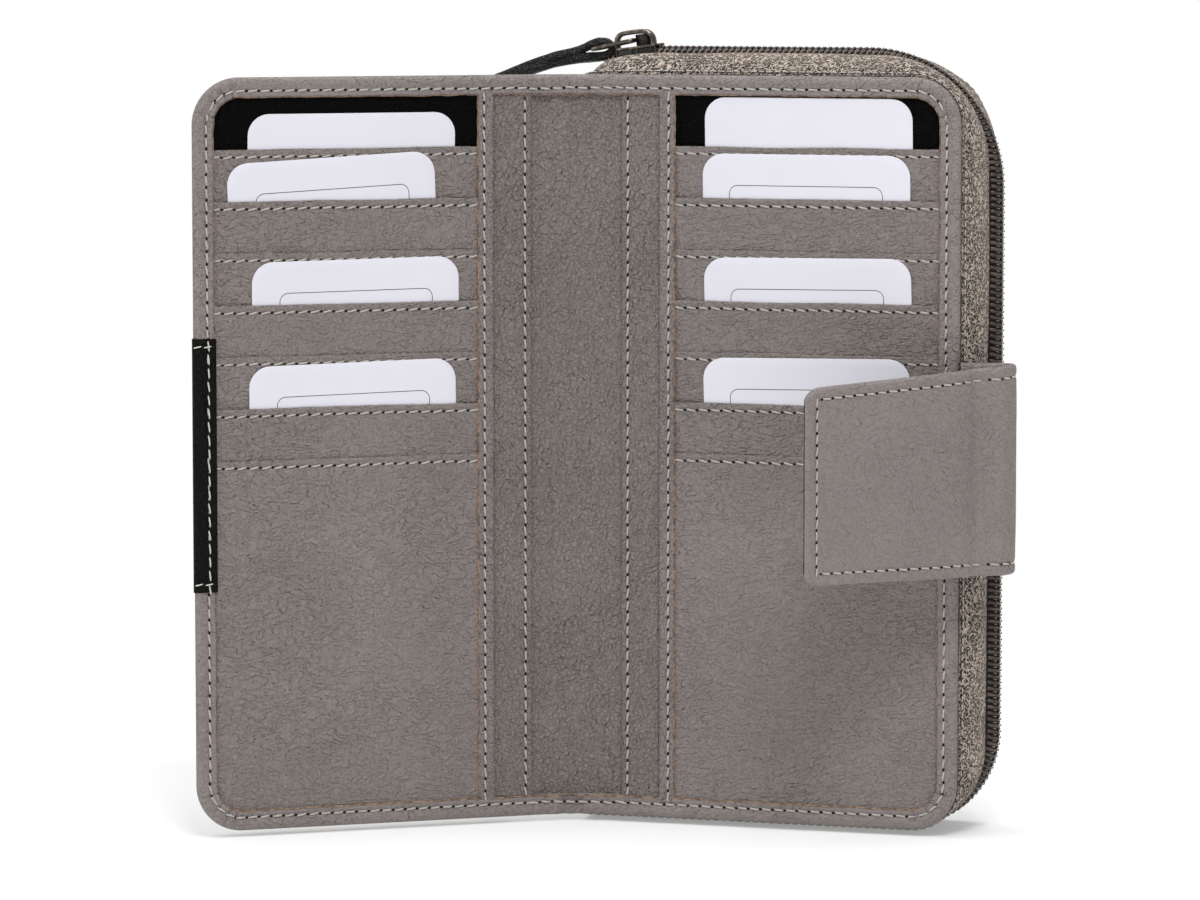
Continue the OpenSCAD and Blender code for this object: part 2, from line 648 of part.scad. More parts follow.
module tab_snap_socket() {
    color("#4a4440") from_bend() translate([tab_flap_l - snap_d, -tab_t / 2, tab_mid_z]) rotate([90, 0, 0])
        difference() {
            cylinder(d = snap_d, h = snap_t);
            translate([0, 0, snap_t / 3]) cylinder(d = snap_d / 2 + 2 * run_gap, h = snap_t);
        }
}

front_cover();
front_patch();
front_snap_stud();
front_lining();
front_note_divider();
front_edge_strip();
front_pocket(1);  // front_pocket_1
front_pocket(2);  // front_pocket_2
front_pocket(3);  // front_pocket_3
front_pocket(4);  // front_pocket_4
front_pocket(5);  // front_pocket_5
front_pocket(6);  // front_pocket_6
front_pocket(7);  // front_pocket_7
front_card(0);  // front_card_1
front_card(1);  // front_card_2
front_card(2);  // front_card_3
front_card(3);  // front_card_4
spine_lining();
spine_cover();
middle_wall();
back_lining();
back_note_divider();
back_edge_strip();
back_pocket(1);  // back_pocket_1
back_pocket(2);  // back_pocket_2
back_pocket(3);  // back_pocket_3
back_pocket(4);  // back_pocket_4
back_pocket(5);  // back_pocket_5
back_pocket(6);  // back_pocket_6
back_pocket(7);  // back_pocket_7
back_card(0);  // back_card_1
back_card(1);  // back_card_2
back_card(2);  // back_card_3
back_card(3);  // back_card_4
coin_pocket();
front_spine_wall();
rear_spine_wall();
front_zip_tape();
rear_zip_tape();
front_zip_teeth();
rear_zip_teeth();
rear_cover();
rear_lining();
top_gusset();
bottom_gusset();
zip_slider();
pull_ring();
pull_thong();
tab_base();
tab_middle();
tab_tip();
tab_snap_socket();
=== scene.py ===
import math
import bmesh
import bpy
import numpy as np
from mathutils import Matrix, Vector

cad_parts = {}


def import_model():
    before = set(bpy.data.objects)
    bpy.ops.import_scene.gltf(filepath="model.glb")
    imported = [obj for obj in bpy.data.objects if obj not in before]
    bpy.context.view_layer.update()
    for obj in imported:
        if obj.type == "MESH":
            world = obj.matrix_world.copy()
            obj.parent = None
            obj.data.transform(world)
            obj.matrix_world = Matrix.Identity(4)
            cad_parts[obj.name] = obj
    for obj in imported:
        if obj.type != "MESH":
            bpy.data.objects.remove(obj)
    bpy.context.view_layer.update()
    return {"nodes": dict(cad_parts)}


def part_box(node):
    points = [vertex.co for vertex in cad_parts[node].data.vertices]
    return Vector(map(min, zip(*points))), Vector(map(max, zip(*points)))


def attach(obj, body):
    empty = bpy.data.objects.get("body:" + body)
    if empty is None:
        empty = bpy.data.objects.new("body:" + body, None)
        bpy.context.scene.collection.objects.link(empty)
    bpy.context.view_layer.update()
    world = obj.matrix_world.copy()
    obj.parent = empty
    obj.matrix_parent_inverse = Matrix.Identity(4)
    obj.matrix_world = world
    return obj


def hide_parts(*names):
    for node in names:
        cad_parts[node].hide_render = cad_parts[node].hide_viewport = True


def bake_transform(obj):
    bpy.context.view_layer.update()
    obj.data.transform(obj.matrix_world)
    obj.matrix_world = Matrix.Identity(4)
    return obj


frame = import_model()

# The halves' own frame, in mm: u outwards from the spine fold, v to the back, z up
WIDE, HIGH, CORNER = 100, 190, 12  # a half's outline and its corners' radius
MID_Z = HIGH / 2
lo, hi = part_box("middle_wall")
OX, OY, OZ = hi.x * 1000 - WIDE, lo.y * 1000 - 0.6, lo.z * 1000
TURN = math.radians(35)  # how far the left half stands from flat
SLOTS = [HIGH - 18.1 - 13 * k for k in range(7)]  # heights of the pockets' top edges
STACK = [3.93, 3.07, 2.62, 1.76, 1.31, 0.45, 0.0]  # how far back each pocket stands, before the lean
LOWEST = 6  # the large pocket's number
LOW_V = 1.4  # the large pocket's distance from the closing plane
TILT = math.atan(STACK[0] / (SLOTS[0] - SLOTS[LOWEST]))
CARD_SLOTS = [0, 1, 3, 5]
ZIP_V = 14.9  # the zip's middle
SPINE = 11.6  # half width of the spine's soft leather
STITCH_V = 0.98  # the seam's groove in the turned edge
INWARD, OUTWARD = (0, -1, 0), (0, 1, 0)  # the sides that a stitch can show on


def split3(p):
    """The three coordinates of points."""
    p = np.asarray(p, float)
    return p[..., 0], p[..., 1], p[..., 2]


def xyz(x, y, z):
    """Points from three numbers or arrays."""
    return np.stack(np.broadcast_arrays(x, y, z), -1)


def turned(x, y, angle):
    """Two coordinates turned by an angle."""
    c, s = math.cos(angle), math.sin(angle)
    return x * c - y * s, x * s + y * c


def right(p):
    """From the right half's frame, in mm, to the scene's, in metres."""
    u, v, z = split3(p)
    return xyz(OX + u, OY + v, OZ + z) * 0.001


def left(p):
    """The same for the left half."""
    u, v, z = split3(p)
    x, y = turned(-u, v, TURN)
    return xyz(OX + x, OY + y, OZ + z) * 0.001


def leaned(p):
    """From a pocket's own frame, which leans back about the large pocket's edge, to the half's frame."""
    u, y, z = split3(p)
    y, z = turned(y, z - SLOTS[LOWEST], TILT)
    return xyz(u, LOW_V + y, SLOTS[LOWEST] + z)


def noise(x, y, seed):
    """Smooth value noise from -1 to 1."""
    x, y = np.broadcast_arrays(np.asarray(x, float), np.asarray(y, float))
    xi, yi = np.floor(x).astype(np.int64), np.floor(y).astype(np.int64)
    fx, fy = x - xi, y - yi
    fx, fy = fx * fx * (3 - 2 * fx), fy * fy * (3 - 2 * fy)

    def value(a, b):
        n = (a * 374761393 + b * 668265263 + seed * 982451653) & 0xFFFFFFFF
        n = ((n ^ (n >> 13)) * 1274126177) & 0xFFFFFFFF
        return ((n ^ (n >> 16)) & 0xFFFF) / 32767.5 - 1

    return ((value(xi, yi) * (1 - fx) + value(xi + 1, yi) * fx) * (1 - fy)
            + (value(xi, yi + 1) * (1 - fx) + value(xi + 1, yi + 1) * fx) * fy)


def smooth(x, a, b):
    """From 0 at a to 1 at b, level at both ends."""
    t = np.clip((np.asarray(x, float) - a) / (b - a), 0, 1)
    return t * t * (3 - 2 * t)


def bell(x, centre, width):
    """1 at centre, falling to nothing a few widths away."""
    return np.exp(-((np.asarray(x, float) - centre) / width) ** 2)


# ---- materials

def linear(r, g, b):
    """A linear colour from display values of 0 to 255."""
    return tuple(((c / 255 + 0.055) / 1.055) ** 2.4 if c > 10 else c / 255 / 12.92 for c in (r, g, b)) + (1.0,)


class Nodes:
    """A material's nodes, made one call at a time."""

    def __init__(self, name, rough=0.5, specular=0.5, metallic=0.0, sheen=0.0):
        self.mat = bpy.data.materials.new(name)
        self.mat.use_nodes = True
        self.tree = self.mat.node_tree
        self.bsdf = self.tree.nodes["Principled BSDF"]
        for socket, value in (("Roughness", rough), ("Specular IOR Level", specular), ("Metallic", metallic),
                              ("Sheen Weight", sheen)):
            self.bsdf.inputs[socket].default_value = value

    def link(self, a, b):
        self.tree.links.new(a, b)

    def node(self, kind, **inputs):
        n = self.tree.nodes.new("ShaderNode" + kind)
        for key, value in inputs.items():
            self.put(n.inputs[key.replace("_", " ")], value)
        return n

    def put(self, socket, value):
        """Links an output to a socket, or sets its value."""
        if hasattr(value, "is_output"):
            self.link(value, socket)
        else:
            socket.default_value = value

    def coords(self, uv=False, turn=(0, 0, 0)):
        c = self.node("TexCoord")
        return self.node("Mapping", Vector=c.outputs["UV" if uv else "Object"], Rotation=turn).outputs[0]

    def noise(self, vector, scale, detail, rough=0.5):
        n = self.node("TexNoise", Vector=vector, Scale=scale, Detail=detail, Roughness=rough)
        return n.outputs["Fac"]

    def warp(self, vector, scale, amount):
        """Moves the coordinates by a noise."""
        n = self.node("TexNoise", Vector=vector, Scale=scale, Detail=2.0)
        m = self.node("VectorMath")
        m.operation = "MULTIPLY_ADD"
        self.link(n.outputs["Color"], m.inputs[0])
        m.inputs[1].default_value = (amount,) * 3
        self.link(vector, m.inputs[2])
        return m.outputs[0]

    def cells(self, vector, scale):
        """The distance to the edge of irregular cells."""
        n = self.node("TexVoronoi", Vector=vector, Scale=scale)
        n.feature = "DISTANCE_TO_EDGE"
        return n.outputs["Distance"]

    def ramp(self, fac, stops):
        n = self.node("ValToRGB", Fac=fac)
        ends = n.color_ramp.elements
        while len(ends) < len(stops):
            ends.new(0.5)
        for e, (at, grey) in zip(ends, stops):
            e.position = at
            e.color = (grey,) * 3 + (1.0,)
        return n.outputs["Color"]

    def math(self, op, a, b=0.0):
        n = self.node("Math")
        n.operation = op
        self.put(n.inputs[0], a)
        self.put(n.inputs[1], b)
        return n.outputs[0]

    def patches(self, vector, scale, detail, low, high):
        """A noise that goes from 0 at low to 1 at high."""
        return self.ramp(self.noise(vector, scale, detail), [(low, 0.0), (high, 1.0)])

    def times(self, a, b):
        return self.math("MULTIPLY", a, b)

    def mix(self, fac, a, b):
        n = self.node("Mix")
        n.data_type = "RGBA"
        self.put(n.inputs["Factor"], fac)
        self.put(n.inputs[6], a)
        self.put(n.inputs[7], b)
        return n.outputs[2]

    def ridge(self, vector, scale, detail, rough):
        """0 along the middle of a noise, which gives long curved lines."""
        return self.math("ABSOLUTE", self.math("SUBTRACT", self.noise(vector, scale, detail, rough), 0.5))

    def bump(self, height, strength, distance, over=None):
        """A relief on top of another; a negative strength presses it in."""
        n = self.node("Bump", Height=height, Strength=abs(strength), Distance=distance)
        n.invert = strength < 0
        if over is not None:
            self.link(over, n.inputs["Normal"])
        return n.outputs[0]

    def finish(self, colour, normal, rough=None):
        self.put(self.bsdf.inputs["Base Color"], colour)
        self.link(normal, self.bsdf.inputs["Normal"])
        if rough is not None:
            self.put(self.bsdf.inputs["Roughness"], rough)
        return self.mat


def shade(tone, k):
    """A tone made darker or lighter."""
    return linear(*(min(255, c * k) for c in tone))


def leather(name, tone, plates, fine, rough=0.5, turn=0.6, specular=0.3):
    """Full-grain leather: curved wrinkles, plates and finer pebbles that come and go, their creases darkened with
    painted shade, over a ground of pale specks that are painted glints.
    """
    m = Nodes(name, specular=specular)
    at = m.coords(turn=(turn, turn / 2, turn))
    where = m.ramp(m.noise(at, 26, 2.0), [(0.4, 0.45), (0.62, 1.0)])
    big = m.ramp(m.cells(m.warp(at, 330, 0.0026), 290), [(0.0, 1.0), (0.04, 0.5), (0.13, 0.0)])
    small = m.ramp(m.cells(m.warp(at, 900, 0.0009), 820), [(0.0, 1.0), (0.2, 0.0)])
    level = m.node("Mapping", Vector=m.warp(at, 90, 0.006), Scale=(0.5, 0.5, 1.3))
    fold = m.ramp(m.ridge(level.outputs[0], 640, 2.0, 0.45), [(0.0, 1.0), (0.035, 0.45), (0.1, 0.0)])
    glint_speck = m.noise(at, 2300, 2.0)
    big = m.times(big, where)
    fold = m.times(fold, m.math("ADD", m.times(where, 0.5), 0.5))
    c = m.mix(m.patches(at, 38, 3.0, 0.34, 0.68), shade(tone, 0.97), shade(tone, 1.03))
    # the creases of the plates, wrinkles and pebbles are darkened as painted shade, and the pale specks are lightened
    # as painted glints
    for fac, share, shade_and_glint_tone in ((big, 0.25 * plates, 0.6), (fold, 0.14 * fine, 0.66), (small, 0.26 * fine, 0.7),
                             (m.ramp(glint_speck, [(0.46, 0.0), (0.7, 1.0)]), 0.5, 1.16)):
        c = m.mix(m.times(fac, share), c, shade(tone, shade_and_glint_tone))
    n = None
    for height, strength, distance in ((fold, -min(1.0, 1.5 * fine), 0.00026), (big, -0.9 * plates, 0.0002),
                                       (small, -0.9 * fine, 0.00022), (glint_speck, 0.5, 0.0001)):
        n = m.bump(height, strength, distance, n)
    r = m.math("ADD", m.times(m.noise(at, 700, 2.0), 0.2), rough - 0.1)
    return m.finish(c, n, r)


def woven():
    """The side band's coarse weave: curled pale yarns over gaps darkened with painted shade, smoother towards the zip.
    """
    m = Nodes("woven_band", rough=0.9, specular=0.12)
    uv = m.coords(uv=True)
    across = m.node("SeparateXYZ", Vector=uv)
    near = m.ramp(across.outputs["Y"], [(0.3, 1.0), (1.0, 0.8)])
    curls = []
    for shift, scale in ((0.0, 9.4), (7.3, 8.2)):
        at = m.node("Mapping", Vector=uv, Location=(shift, shift, shift))
        curls.append(m.ridge(at.outputs[0], scale, 1.0, 0.35))
    yarn = m.ramp(m.math("MINIMUM", *curls), [(0.0, 1.0), (0.03, 0.9), (0.07, 0.0)])
    gap_shade = m.times(m.math("SUBTRACT", 1.0, yarn), near)
    c = m.mix(m.patches(uv, 60.0, 2.0, 0.35, 0.65), linear(156, 143, 133), linear(212, 199, 187))
    # painted shade: the gaps between the yarns, pressed in by the bump below, are darkened
    c = m.mix(m.times(gap_shade, 0.95), c, linear(34, 27, 23))
    b = m.bump(m.math("SUBTRACT", 1.0, gap_shade), 1.0, 0.0006)
    b = m.bump(m.noise(uv, 150.0, 2.0), 0.3, 0.0001, b)
    return m.finish(c, b)


def metal(name, base, worn):
    """Metal with worn patches."""
    m = Nodes(name, metallic=1.0)
    at = m.coords()
    c = m.mix(m.patches(at, 500, 4.0, 0.48, 0.7), linear(*base), linear(*worn))
    r = m.math("ADD", m.times(m.noise(at, 900, 3.0), 0.25), 0.18)
    return m.finish(c, m.bump(m.noise(at, 1500, 2.0), 0.12, 0.00005), r)


def mottled(name, patches, dark, light, grain, strength, distance, rough, specular):
    """Two tones in patches, given by their scale, detail and perhaps their range, with a fine relief."""
    m = Nodes(name, rough=rough, specular=specular)
    at = m.coords()
    c = (m.patches if len(patches) == 4 else m.noise)(at, *patches)
    return m.finish(m.mix(c, linear(*dark), linear(*light)), m.bump(m.noise(at, grain, 2.0), strength, distance))


def twisted(name, dark, light, scale):
    """Fine twisted yarn."""
    m = Nodes(name, rough=0.7, specular=0.3, sheen=0.2)
    at = m.coords(turn=(0.6, 0.5, 0.7))
    w = m.node("TexWave", Vector=at, Scale=scale, Distortion=1.2, Detail=1.0).outputs["Fac"]
    return m.finish(m.mix(w, linear(*dark), linear(*light)), m.bump(w, 0.5, 0.00008))


def cloth(name, dark, light):
    """A plain weave."""
    m = Nodes(name, rough=0.9, specular=0.15, sheen=0.25)
    at = m.coords()
    warp, weft = (m.node("TexWave", Vector=at, Scale=520.0, Distortion=0.4) for _ in range(2))
    weft.bands_direction = "Z"
    w = m.times(warp.outputs["Fac"], weft.outputs["Fac"])
    return m.finish(m.mix(w, linear(*dark), linear(*light)), m.bump(w, 0.5, 0.0001))


M = {
    "leather": leather("leather_panel", (131, 123, 120), plates=0.8, fine=0.55),
    "pocket": leather("leather_pocket", (127, 119, 115), plates=0.6, fine=0.7, turn=0.3),
    "spine": leather("leather_spine", (122, 115, 111), plates=0.7, fine=1.1, turn=1.1),
    "tab": leather("leather_tab", (129, 121, 118), plates=0.4, fine=0.5, turn=0.9),
    "edge": leather("leather_turned_edge", (128, 121, 118), plates=0.3, fine=1.0, rough=0.42, turn=0.2),
    "lace": leather("leather_lace", (20, 19, 19), plates=0.3, fine=1.0, rough=0.4, specular=0.35),
    # one black leather in two tones: the patch's lighter tone is painted light, the lining's darker tone painted shade
    "black": leather("leather_black_lit", (11, 10, 9), plates=0.6, fine=1.0, specular=0.1),
    "inner": leather("leather_black_inner_shaded", (5, 5, 5), plates=0.6, fine=0.9, specular=0.05, rough=0.6),
    "woven": woven(),
    "chain": mottled("zip_coil", (420, 3.0, 0.4, 0.68), (50, 41, 37), (84, 73, 67), 1500, 0.15, 0.00005, 0.34, 0.45),
    "tie": twisted("chain_tie", (88, 78, 71), (136, 126, 117), 1500.0),
    # painted shade: the dark ribbon under the zip's chain
    "ribbon": twisted("zip_ribbon_shade", (34, 29, 27), (66, 58, 54), 900.0),
    "gunmetal": metal("gunmetal", (92, 86, 80), (160, 150, 134)),
    # painted shade: the dark core in the slider's hollow
    "slider_hollow_shade": leather("slider_hollow_shade", (22, 19, 17), plates=0.0, fine=0.2, rough=0.35, specular=0.5),
    "thread": twisted("thread", (146, 140, 132), (206, 202, 194), 1500.0),
    "pale_thread": twisted("thread_pale", (176, 172, 164), (226, 222, 214), 1500.0),
    # needle holes: dark discs of painted shade
    "hole": cloth("needle_hole_shade", (12, 10, 9), (24, 20, 18)),
    "card": mottled("card_stock", (30, 3.0), (213, 212, 221), (223, 222, 231), 1800, 0.06, 0.00004, 0.45, 0.35),
    "print": cloth("card_print", (84, 80, 88), (110, 106, 114)),
    "lining": cloth("lining_fabric", (14, 13, 13), (40, 38, 37)),
    "raw": mottled("raw_edge", (700, 4.0, 0.4, 0.62), (104, 89, 78), (158, 130, 108), 2400, 0.5, 0.00008, 0.9, 0.15),
}

# ---- mesh helpers


def quads(n, m, wrap_n=False, wrap_m=False):
    """The faces of a grid of n by m points, closed either way if asked."""
    i = np.arange(n if wrap_n else n - 1)[:, None]
    j = np.arange(m if wrap_m else m - 1)[None, :]
    a, b = i * m + j, ((i + 1) % n) * m + j
    c, d = ((i + 1) % n) * m + (j + 1) % m, i * m + (j + 1) % m
    return np.stack([a, b, c, d], -1).reshape(-1, 4).tolist()


def capped(n, m):
    """The faces of a tube of n rings with m points each, with both ends."""
    return quads(n, m, wrap_m=True) + [list(range(m))[::-1], list(range((n - 1) * m, n * m))]


def circle(n):
    """Cosines and sines of n even steps round."""
    a = np.arange(n) / n * 2 * math.pi
    return np.cos(a), np.sin(a)


def add(name, data):
    o = bpy.data.objects.new(name, data)
    bpy.context.scene.collection.objects.link(o)
    return o


def piece(name, points, faces, mat, body, replaces=(), uv=None):
    """A mesh with its material, the body that it rides and the CAD nodes that it replaces."""
    mesh = bpy.data.meshes.new(name)
    mesh.from_pydata(np.asarray(points, float).reshape(-1, 3).tolist(), [], faces)
    mesh.materials.append(M[mat])
    b = bmesh.new()
    b.from_mesh(mesh)
    bmesh.ops.recalc_face_normals(b, faces=b.faces)
    b.to_mesh(mesh)
    b.free()
    if uv is not None:
        layer = mesh.uv_layers.new(name="UVMap")
        loops = np.zeros(len(mesh.loops), np.int32)
        mesh.loops.foreach_get("vertex_index", loops)
        layer.data.foreach_set("uv", np.asarray(uv, float).reshape(-1, 2)[loops].astype(np.float32).ravel())
    mesh.polygons.foreach_set("use_smooth", [True] * len(mesh.polygons))
    mesh.update()
    o = add(name, mesh)
    if body:
        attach(o, body)
    if replaces:
        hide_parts(*replaces)
    return o


def arc_uv(P):
    """UVs in centimetres along both ways of a grid."""
    a, b = np.zeros(P.shape[:2]), np.zeros(P.shape[:2])
    a[1:] = np.cumsum(np.linalg.norm(np.diff(P, axis=0), axis=-1), 0)
    b[:, 1:] = np.cumsum(np.linalg.norm(np.diff(P, axis=1), axis=-1), 1)
    return np.stack([a, b], -1) * 0.1


def sheet(name, P, place, mat, body=None, replaces=(), wrap=False, cap=False):
    """A grid of points; wrap closes it the second way and cap fills its two ends."""
    P = np.asarray(P, float)
    n, m = P.shape[:2]
    faces = quads(n, m, wrap_m=wrap)
    if cap:
        faces += [list(range(m)), list(range((n - 1) * m, n * m))[::-1]]
    return piece(name, place(P), faces, mat, body, replaces, uv=arc_uv(P))


def bar(name, lines, place, mat, body, replaces=()):
    """A closed bar from the lines along it."""
    sheet(name, np.array(lines).transpose(1, 0, 2), place, mat, body, replaces, wrap=True, cap=True)


def join_parts(parts):
    """Vertices and faces of many small meshes as one."""
    points, faces, at = [], [], 0
    for p, f in parts:
        points.append(p)
        faces += [[i + at for i in face] for face in f]
        at += len(p)
    return np.concatenate(points), faces


def along(path, pitch, start):
    """Places and directions at an even pitch along a polyline."""
    path = np.asarray(path, float)
    s = np.r_[0, np.cumsum(np.linalg.norm(np.diff(path, axis=0), axis=1))]
    at = np.arange(start, s[-1], pitch)
    p, q, r = (np.stack([np.interp(at + d, s, path[:, k]) for k in range(3)], -1) for d in (0, 0.05, -0.05))
    t = q - r
    return p, t / np.linalg.norm(t, axis=1)[:, None]


def nearest(path, normals, pitch):
    """The normals of a path's points nearest to its stitches."""
    places, _ = along(path, pitch, 0.4)
    return normals[[int(np.argmin(((path - k) ** 2).sum(1))) for k in places]]


CAPSULE, DISC = capped(6, 6), [list(range(8))]


def capsule(p, t, n, length, r, sink, flat=1.0, lift=0.0):
    """A stitch: a bent capsule along t, its middle raised along n and its ends sunk."""
    b = np.cross(t, n)
    cos, sin = circle(6)
    out = []
    for f, w in ((-1, 0.35), (-0.8, 0.85), (-0.3, 1), (0.3, 1), (0.8, 0.85), (1, 0.35)):
        c = p + t * (f * length / 2) + n * (lift + sink * (1 - f * f) - sink * 0.4)
        out.append(c + (cos[:, None] * b + sin[:, None] * n * flat) * r * w)
    return np.concatenate(out), CAPSULE


class Thread:
    """Collects the stitches of one body and its needle holes, dark discs of painted shade."""

    def __init__(self):
        self.stitches, self.hole_shades = [], []

    def run(self, path, normal, place, seed, pitch=3.2, r=0.25, slant=0.12, start=0.4, lift=0.1):
        """A seam of slanted stitches along a path, with a needle hole, a dark disc of painted shade, between every two.
        """
        p, t = along(path, pitch, start)
        normal = np.broadcast_to(normal, p.shape) if np.ndim(normal) == 1 else normal
        cos, sin = circle(8)
        jitter = noise(np.arange(len(p)) * 1.7, seed * 3.1, seed)
        for k, n in zip(range(len(p)), normal):
            b = np.cross(t[k], n)
            d = t[k] + b * (slant + 0.08 * jitter[k])
            d /= np.linalg.norm(d)
            q, f = capsule(p[k] + b * 0.05 * jitter[k], d, n, pitch * 0.8, r, sink=0.22, flat=0.75, lift=lift)
            self.stitches.append((place(q), f))
            h = p[k] + t[k] * pitch / 2 + n * (lift + 0.02)
            # a dark disc of painted shade where the needle went through
            self.hole_shades.append((place(h + cos[:, None] * t[k] * 0.46 + sin[:, None] * b * 0.34), DISC))

    def make(self, name, body, mat="thread"):
        return [piece(f"{what}_{name}", *join_parts(parts), m, body)
                for what, parts, m in (("thread", self.stitches, mat), ("hole_shades", self.hole_shades, "hole"))]


THREAD = {name: Thread() for name in "front_half back_half rear_shell spine tab_fold tab_flap patch".split()}


def across_spine(o):
    left((SPINE, 1.5, 95))
    right((SPINE, 1.5, 95))
    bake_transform(o)


def across_fold(o):
    right((110.5, 1.2, 92))
    right((110.5, -3.2, 92))
    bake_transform(o)

# ---- covers

# The places of a leg's points along u, denser at the spine
LEG = np.r_[SPINE, 12.3, 13.2, 14.4, 15.8, 17.4, 19.2, np.linspace(21, WIDE - CORNER, 34)]


def u_path(u_end, z0, z1, ru, rz, leg, arc=36, side=96, top=None):
    """A U from the spine along the bottom, up the side and back along the top, whose corner may be rounder."""
    a = np.linspace(0, math.pi / 2, arc + 1)[1:]
    tu, tz = top or (ru, rz)
    x, y = (leg[0] + (leg - leg[0]) * (u_end - k - leg[0]) / (leg[-1] - leg[0]) for k in (ru, tu))
    low = [(q, z0) for q in x] + [(u_end - ru + ru * math.sin(k), z0 + rz - rz * math.cos(k)) for k in a]
    mid = [(u_end, q) for q in np.linspace(z0 + rz, z1 - tz, side)[1:-1]]
    high = [(u_end - tu + tu * math.cos(k), z1 - tz + tz * math.sin(k)) for k in np.r_[0, a]]
    return np.array(low + mid + high + [(q, z1) for q in y[-2::-1]])


def rim(du, dz, leg=LEG):
    """The u and z of a half's outline, set in by du at the side and by dz at the ends."""
    q = u_path(WIDE - du, dz, HIGH - dz, max(CORNER - du, 0.4), max(CORNER - dz, 0.4), leg=leg)
    return q[:, 0], q[:, 1]


def reach(u, squared):
    """How far a rounded corner stands from the height of its centre, by its squared radius."""
    return np.sqrt(np.maximum(0, squared - np.maximum(0, u - (WIDE - CORNER)) ** 2))


# Inset at the side, inset at the ends, distance from the closing plane; first the turned edge, then the outside
BINDING = [(5.67, 5.4, 2.0), (5.35, 5.05, 1.7), (5.28, 4.98, 1.2), (5.21, 4.9, 0.88), (4.93, 4.65, 0.76),
           (4.37, 4.2, 0.74), (3.91, 3.85, 0.84), (3.45, 3.4, 0.98), (3.07, 3.0, 0.86), (2.6, 2.6, 0.68),
           (1.95, 2.0, 0.56), (1.32, 1.4, 0.53), (0.78, 0.8, 0.62), (0.35, 0.35, 0.84), (0.08, 0.08, 1.2)]
BINDING += [(d, d, v) for d, v in (
    (0, 1.6), (0.08, 2.0), (0.35, 2.36), (0.8, 2.6), (1.2, 2.75), (1.7, 3.2), (2.3, 3.85), (3.1, 4.7), (4.2, 5.6),
    (5.6, 6.6), (7.4, 7.4), (9.4, 7.95), (12, 8.25), (17, 8.35), (26, 8.4), (40, 8.42), (58, 8.42), (76, 8.42),
    (89.4, 8.42))]


def binding_lift(z, u, d, seed):
    """How the turned edge rides over the pockets' ends and puckers at the corners and along the stitches."""
    over = sum(bell(z, s - 0.5, 1.3) for s in SLOTS) * smooth(u, 90, 94) * 0.2
    from_middle, corner_u, corner_z = np.abs(z - MID_Z), WIDE - CORNER, MID_Z - CORNER
    theta = np.arctan2(from_middle - corner_z, np.maximum(u - corner_u, 1e-6))
    corner = ((u > corner_u) & (from_middle > corner_z)).astype(float)
    valley = (1 - np.abs(np.sin(theta * 9 + 0.6 * noise(theta * 5, seed, seed)))) ** 3
    s = np.where(from_middle > 87, u, z)
    pucker = noise(s / 1.9, d / 1.5, seed) * 0.09 + noise(s / 0.9, d / 2.5, seed + 7) * 0.03
    return -over * smooth(d, 1.5, 4.0) + (0.6 * valley - 0.14) * smooth(d, 0.5, 2.4) * corner + pucker


def frayed(u, z, jag):
    """An inner edge moved in or out by jag."""
    u = u - jag * (u > 92)
    return u, z + np.where(u <= 92, np.where(z > MID_Z, jag, -jag), 0)


def cover(side, place, body, node, seed):
    """A half's leather: from the raw edge over the turned edge to the outside, with its seam."""
    rows = []
    for k, (du, dz, v) in enumerate(BINDING):
        u, z = rim(du, dz)
        if v > 2.6 or du > 12:
            v = 2.6 + (v - 2.6) * np.interp(u - SPINE, [0, 0.8, 1.6, 4, 8], [0, 0.1, 0.28, 0.75, 1])
            v += noise(u / 16, z / 19, seed) * 0.1 * smooth(du, 8, 20)
        elif k < 15:
            v = v + binding_lift(z, u, du, seed) * (1 if k > 1 else 0.4)
            if 1 < k < 5:
                u, z = frayed(u, z, noise((u + z) / 2.1, k * 0.2, seed + 3) * 0.16)
        rows.append(xyz(u, v, z))
    sheet(f"{side}_cover_leather", rows, place, "leather", body, [node])
    # the raw inner edge of the turned leather
    ribbon = []
    for du, dz, v in ((5.23, 4.92, 0.80), (5.45, 5.16, 0.9), (5.49, 5.2, 1.75)):
        u, z = rim(du, dz)
        u, z = frayed(u, z, noise((u + z) / 2.1, 0.4, seed + 3) * 0.16 + noise((u + z) / 0.7, 0.4, seed + 5) * 0.06)
        ribbon.append(xyz(u, v + binding_lift(z, u, 5.2, seed), z))
    sheet(f"{side}_raw_edge", ribbon, place, "raw", body)
    u, z = rim(3.45, 3.4)
    THREAD[body].run(xyz(u, STITCH_V + binding_lift(z, u, 3.7, seed), z), INWARD, place, seed=seed)


cover("left", left, "front_half", "front_cover", 11)
for a, b, n in (((20, 5.0, 3.4), (86, 5.0, 3.4), (0, 0.8, -0.6)), ((96.55, 5.0, 14), (96.55, 5.0, 176), (0.6, 0.8, 0)),
                ((20, 5.0, 186.6), (86, 5.0, 186.6), (0, 0.8, 0.6))):
    THREAD["front_half"].run([a, b], n, left, seed=12)
cover("right", right, "back_half", "middle_wall", 23)

# ---- pockets, lining, strips

# A pocket's turned top edge, front and back: height over the slot and depth, then down to its lower end
HEM = [(-0.03, 0.22), (-0.1, 0.04), (-0.3, -0.1), (-0.7, -0.17), (-1.15, -0.15), (-1.6, -0.05), (-1.9, 0.06),
       (-2.2, -0.02), (-2.8, -0.12), (-3.8, -0.14), (-4.9, -0.1), (-5.6, -0.02), (-6.6, 0.03), (-9, 0.03), (-12, 0.03),
       (-16, 0.03), (-20, 0.03), (-20, 0.3), (-12, 0.3), (-6, 0.3), (-5.4, 0.42), (-1, 0.42), (-0.25, 0.38)]


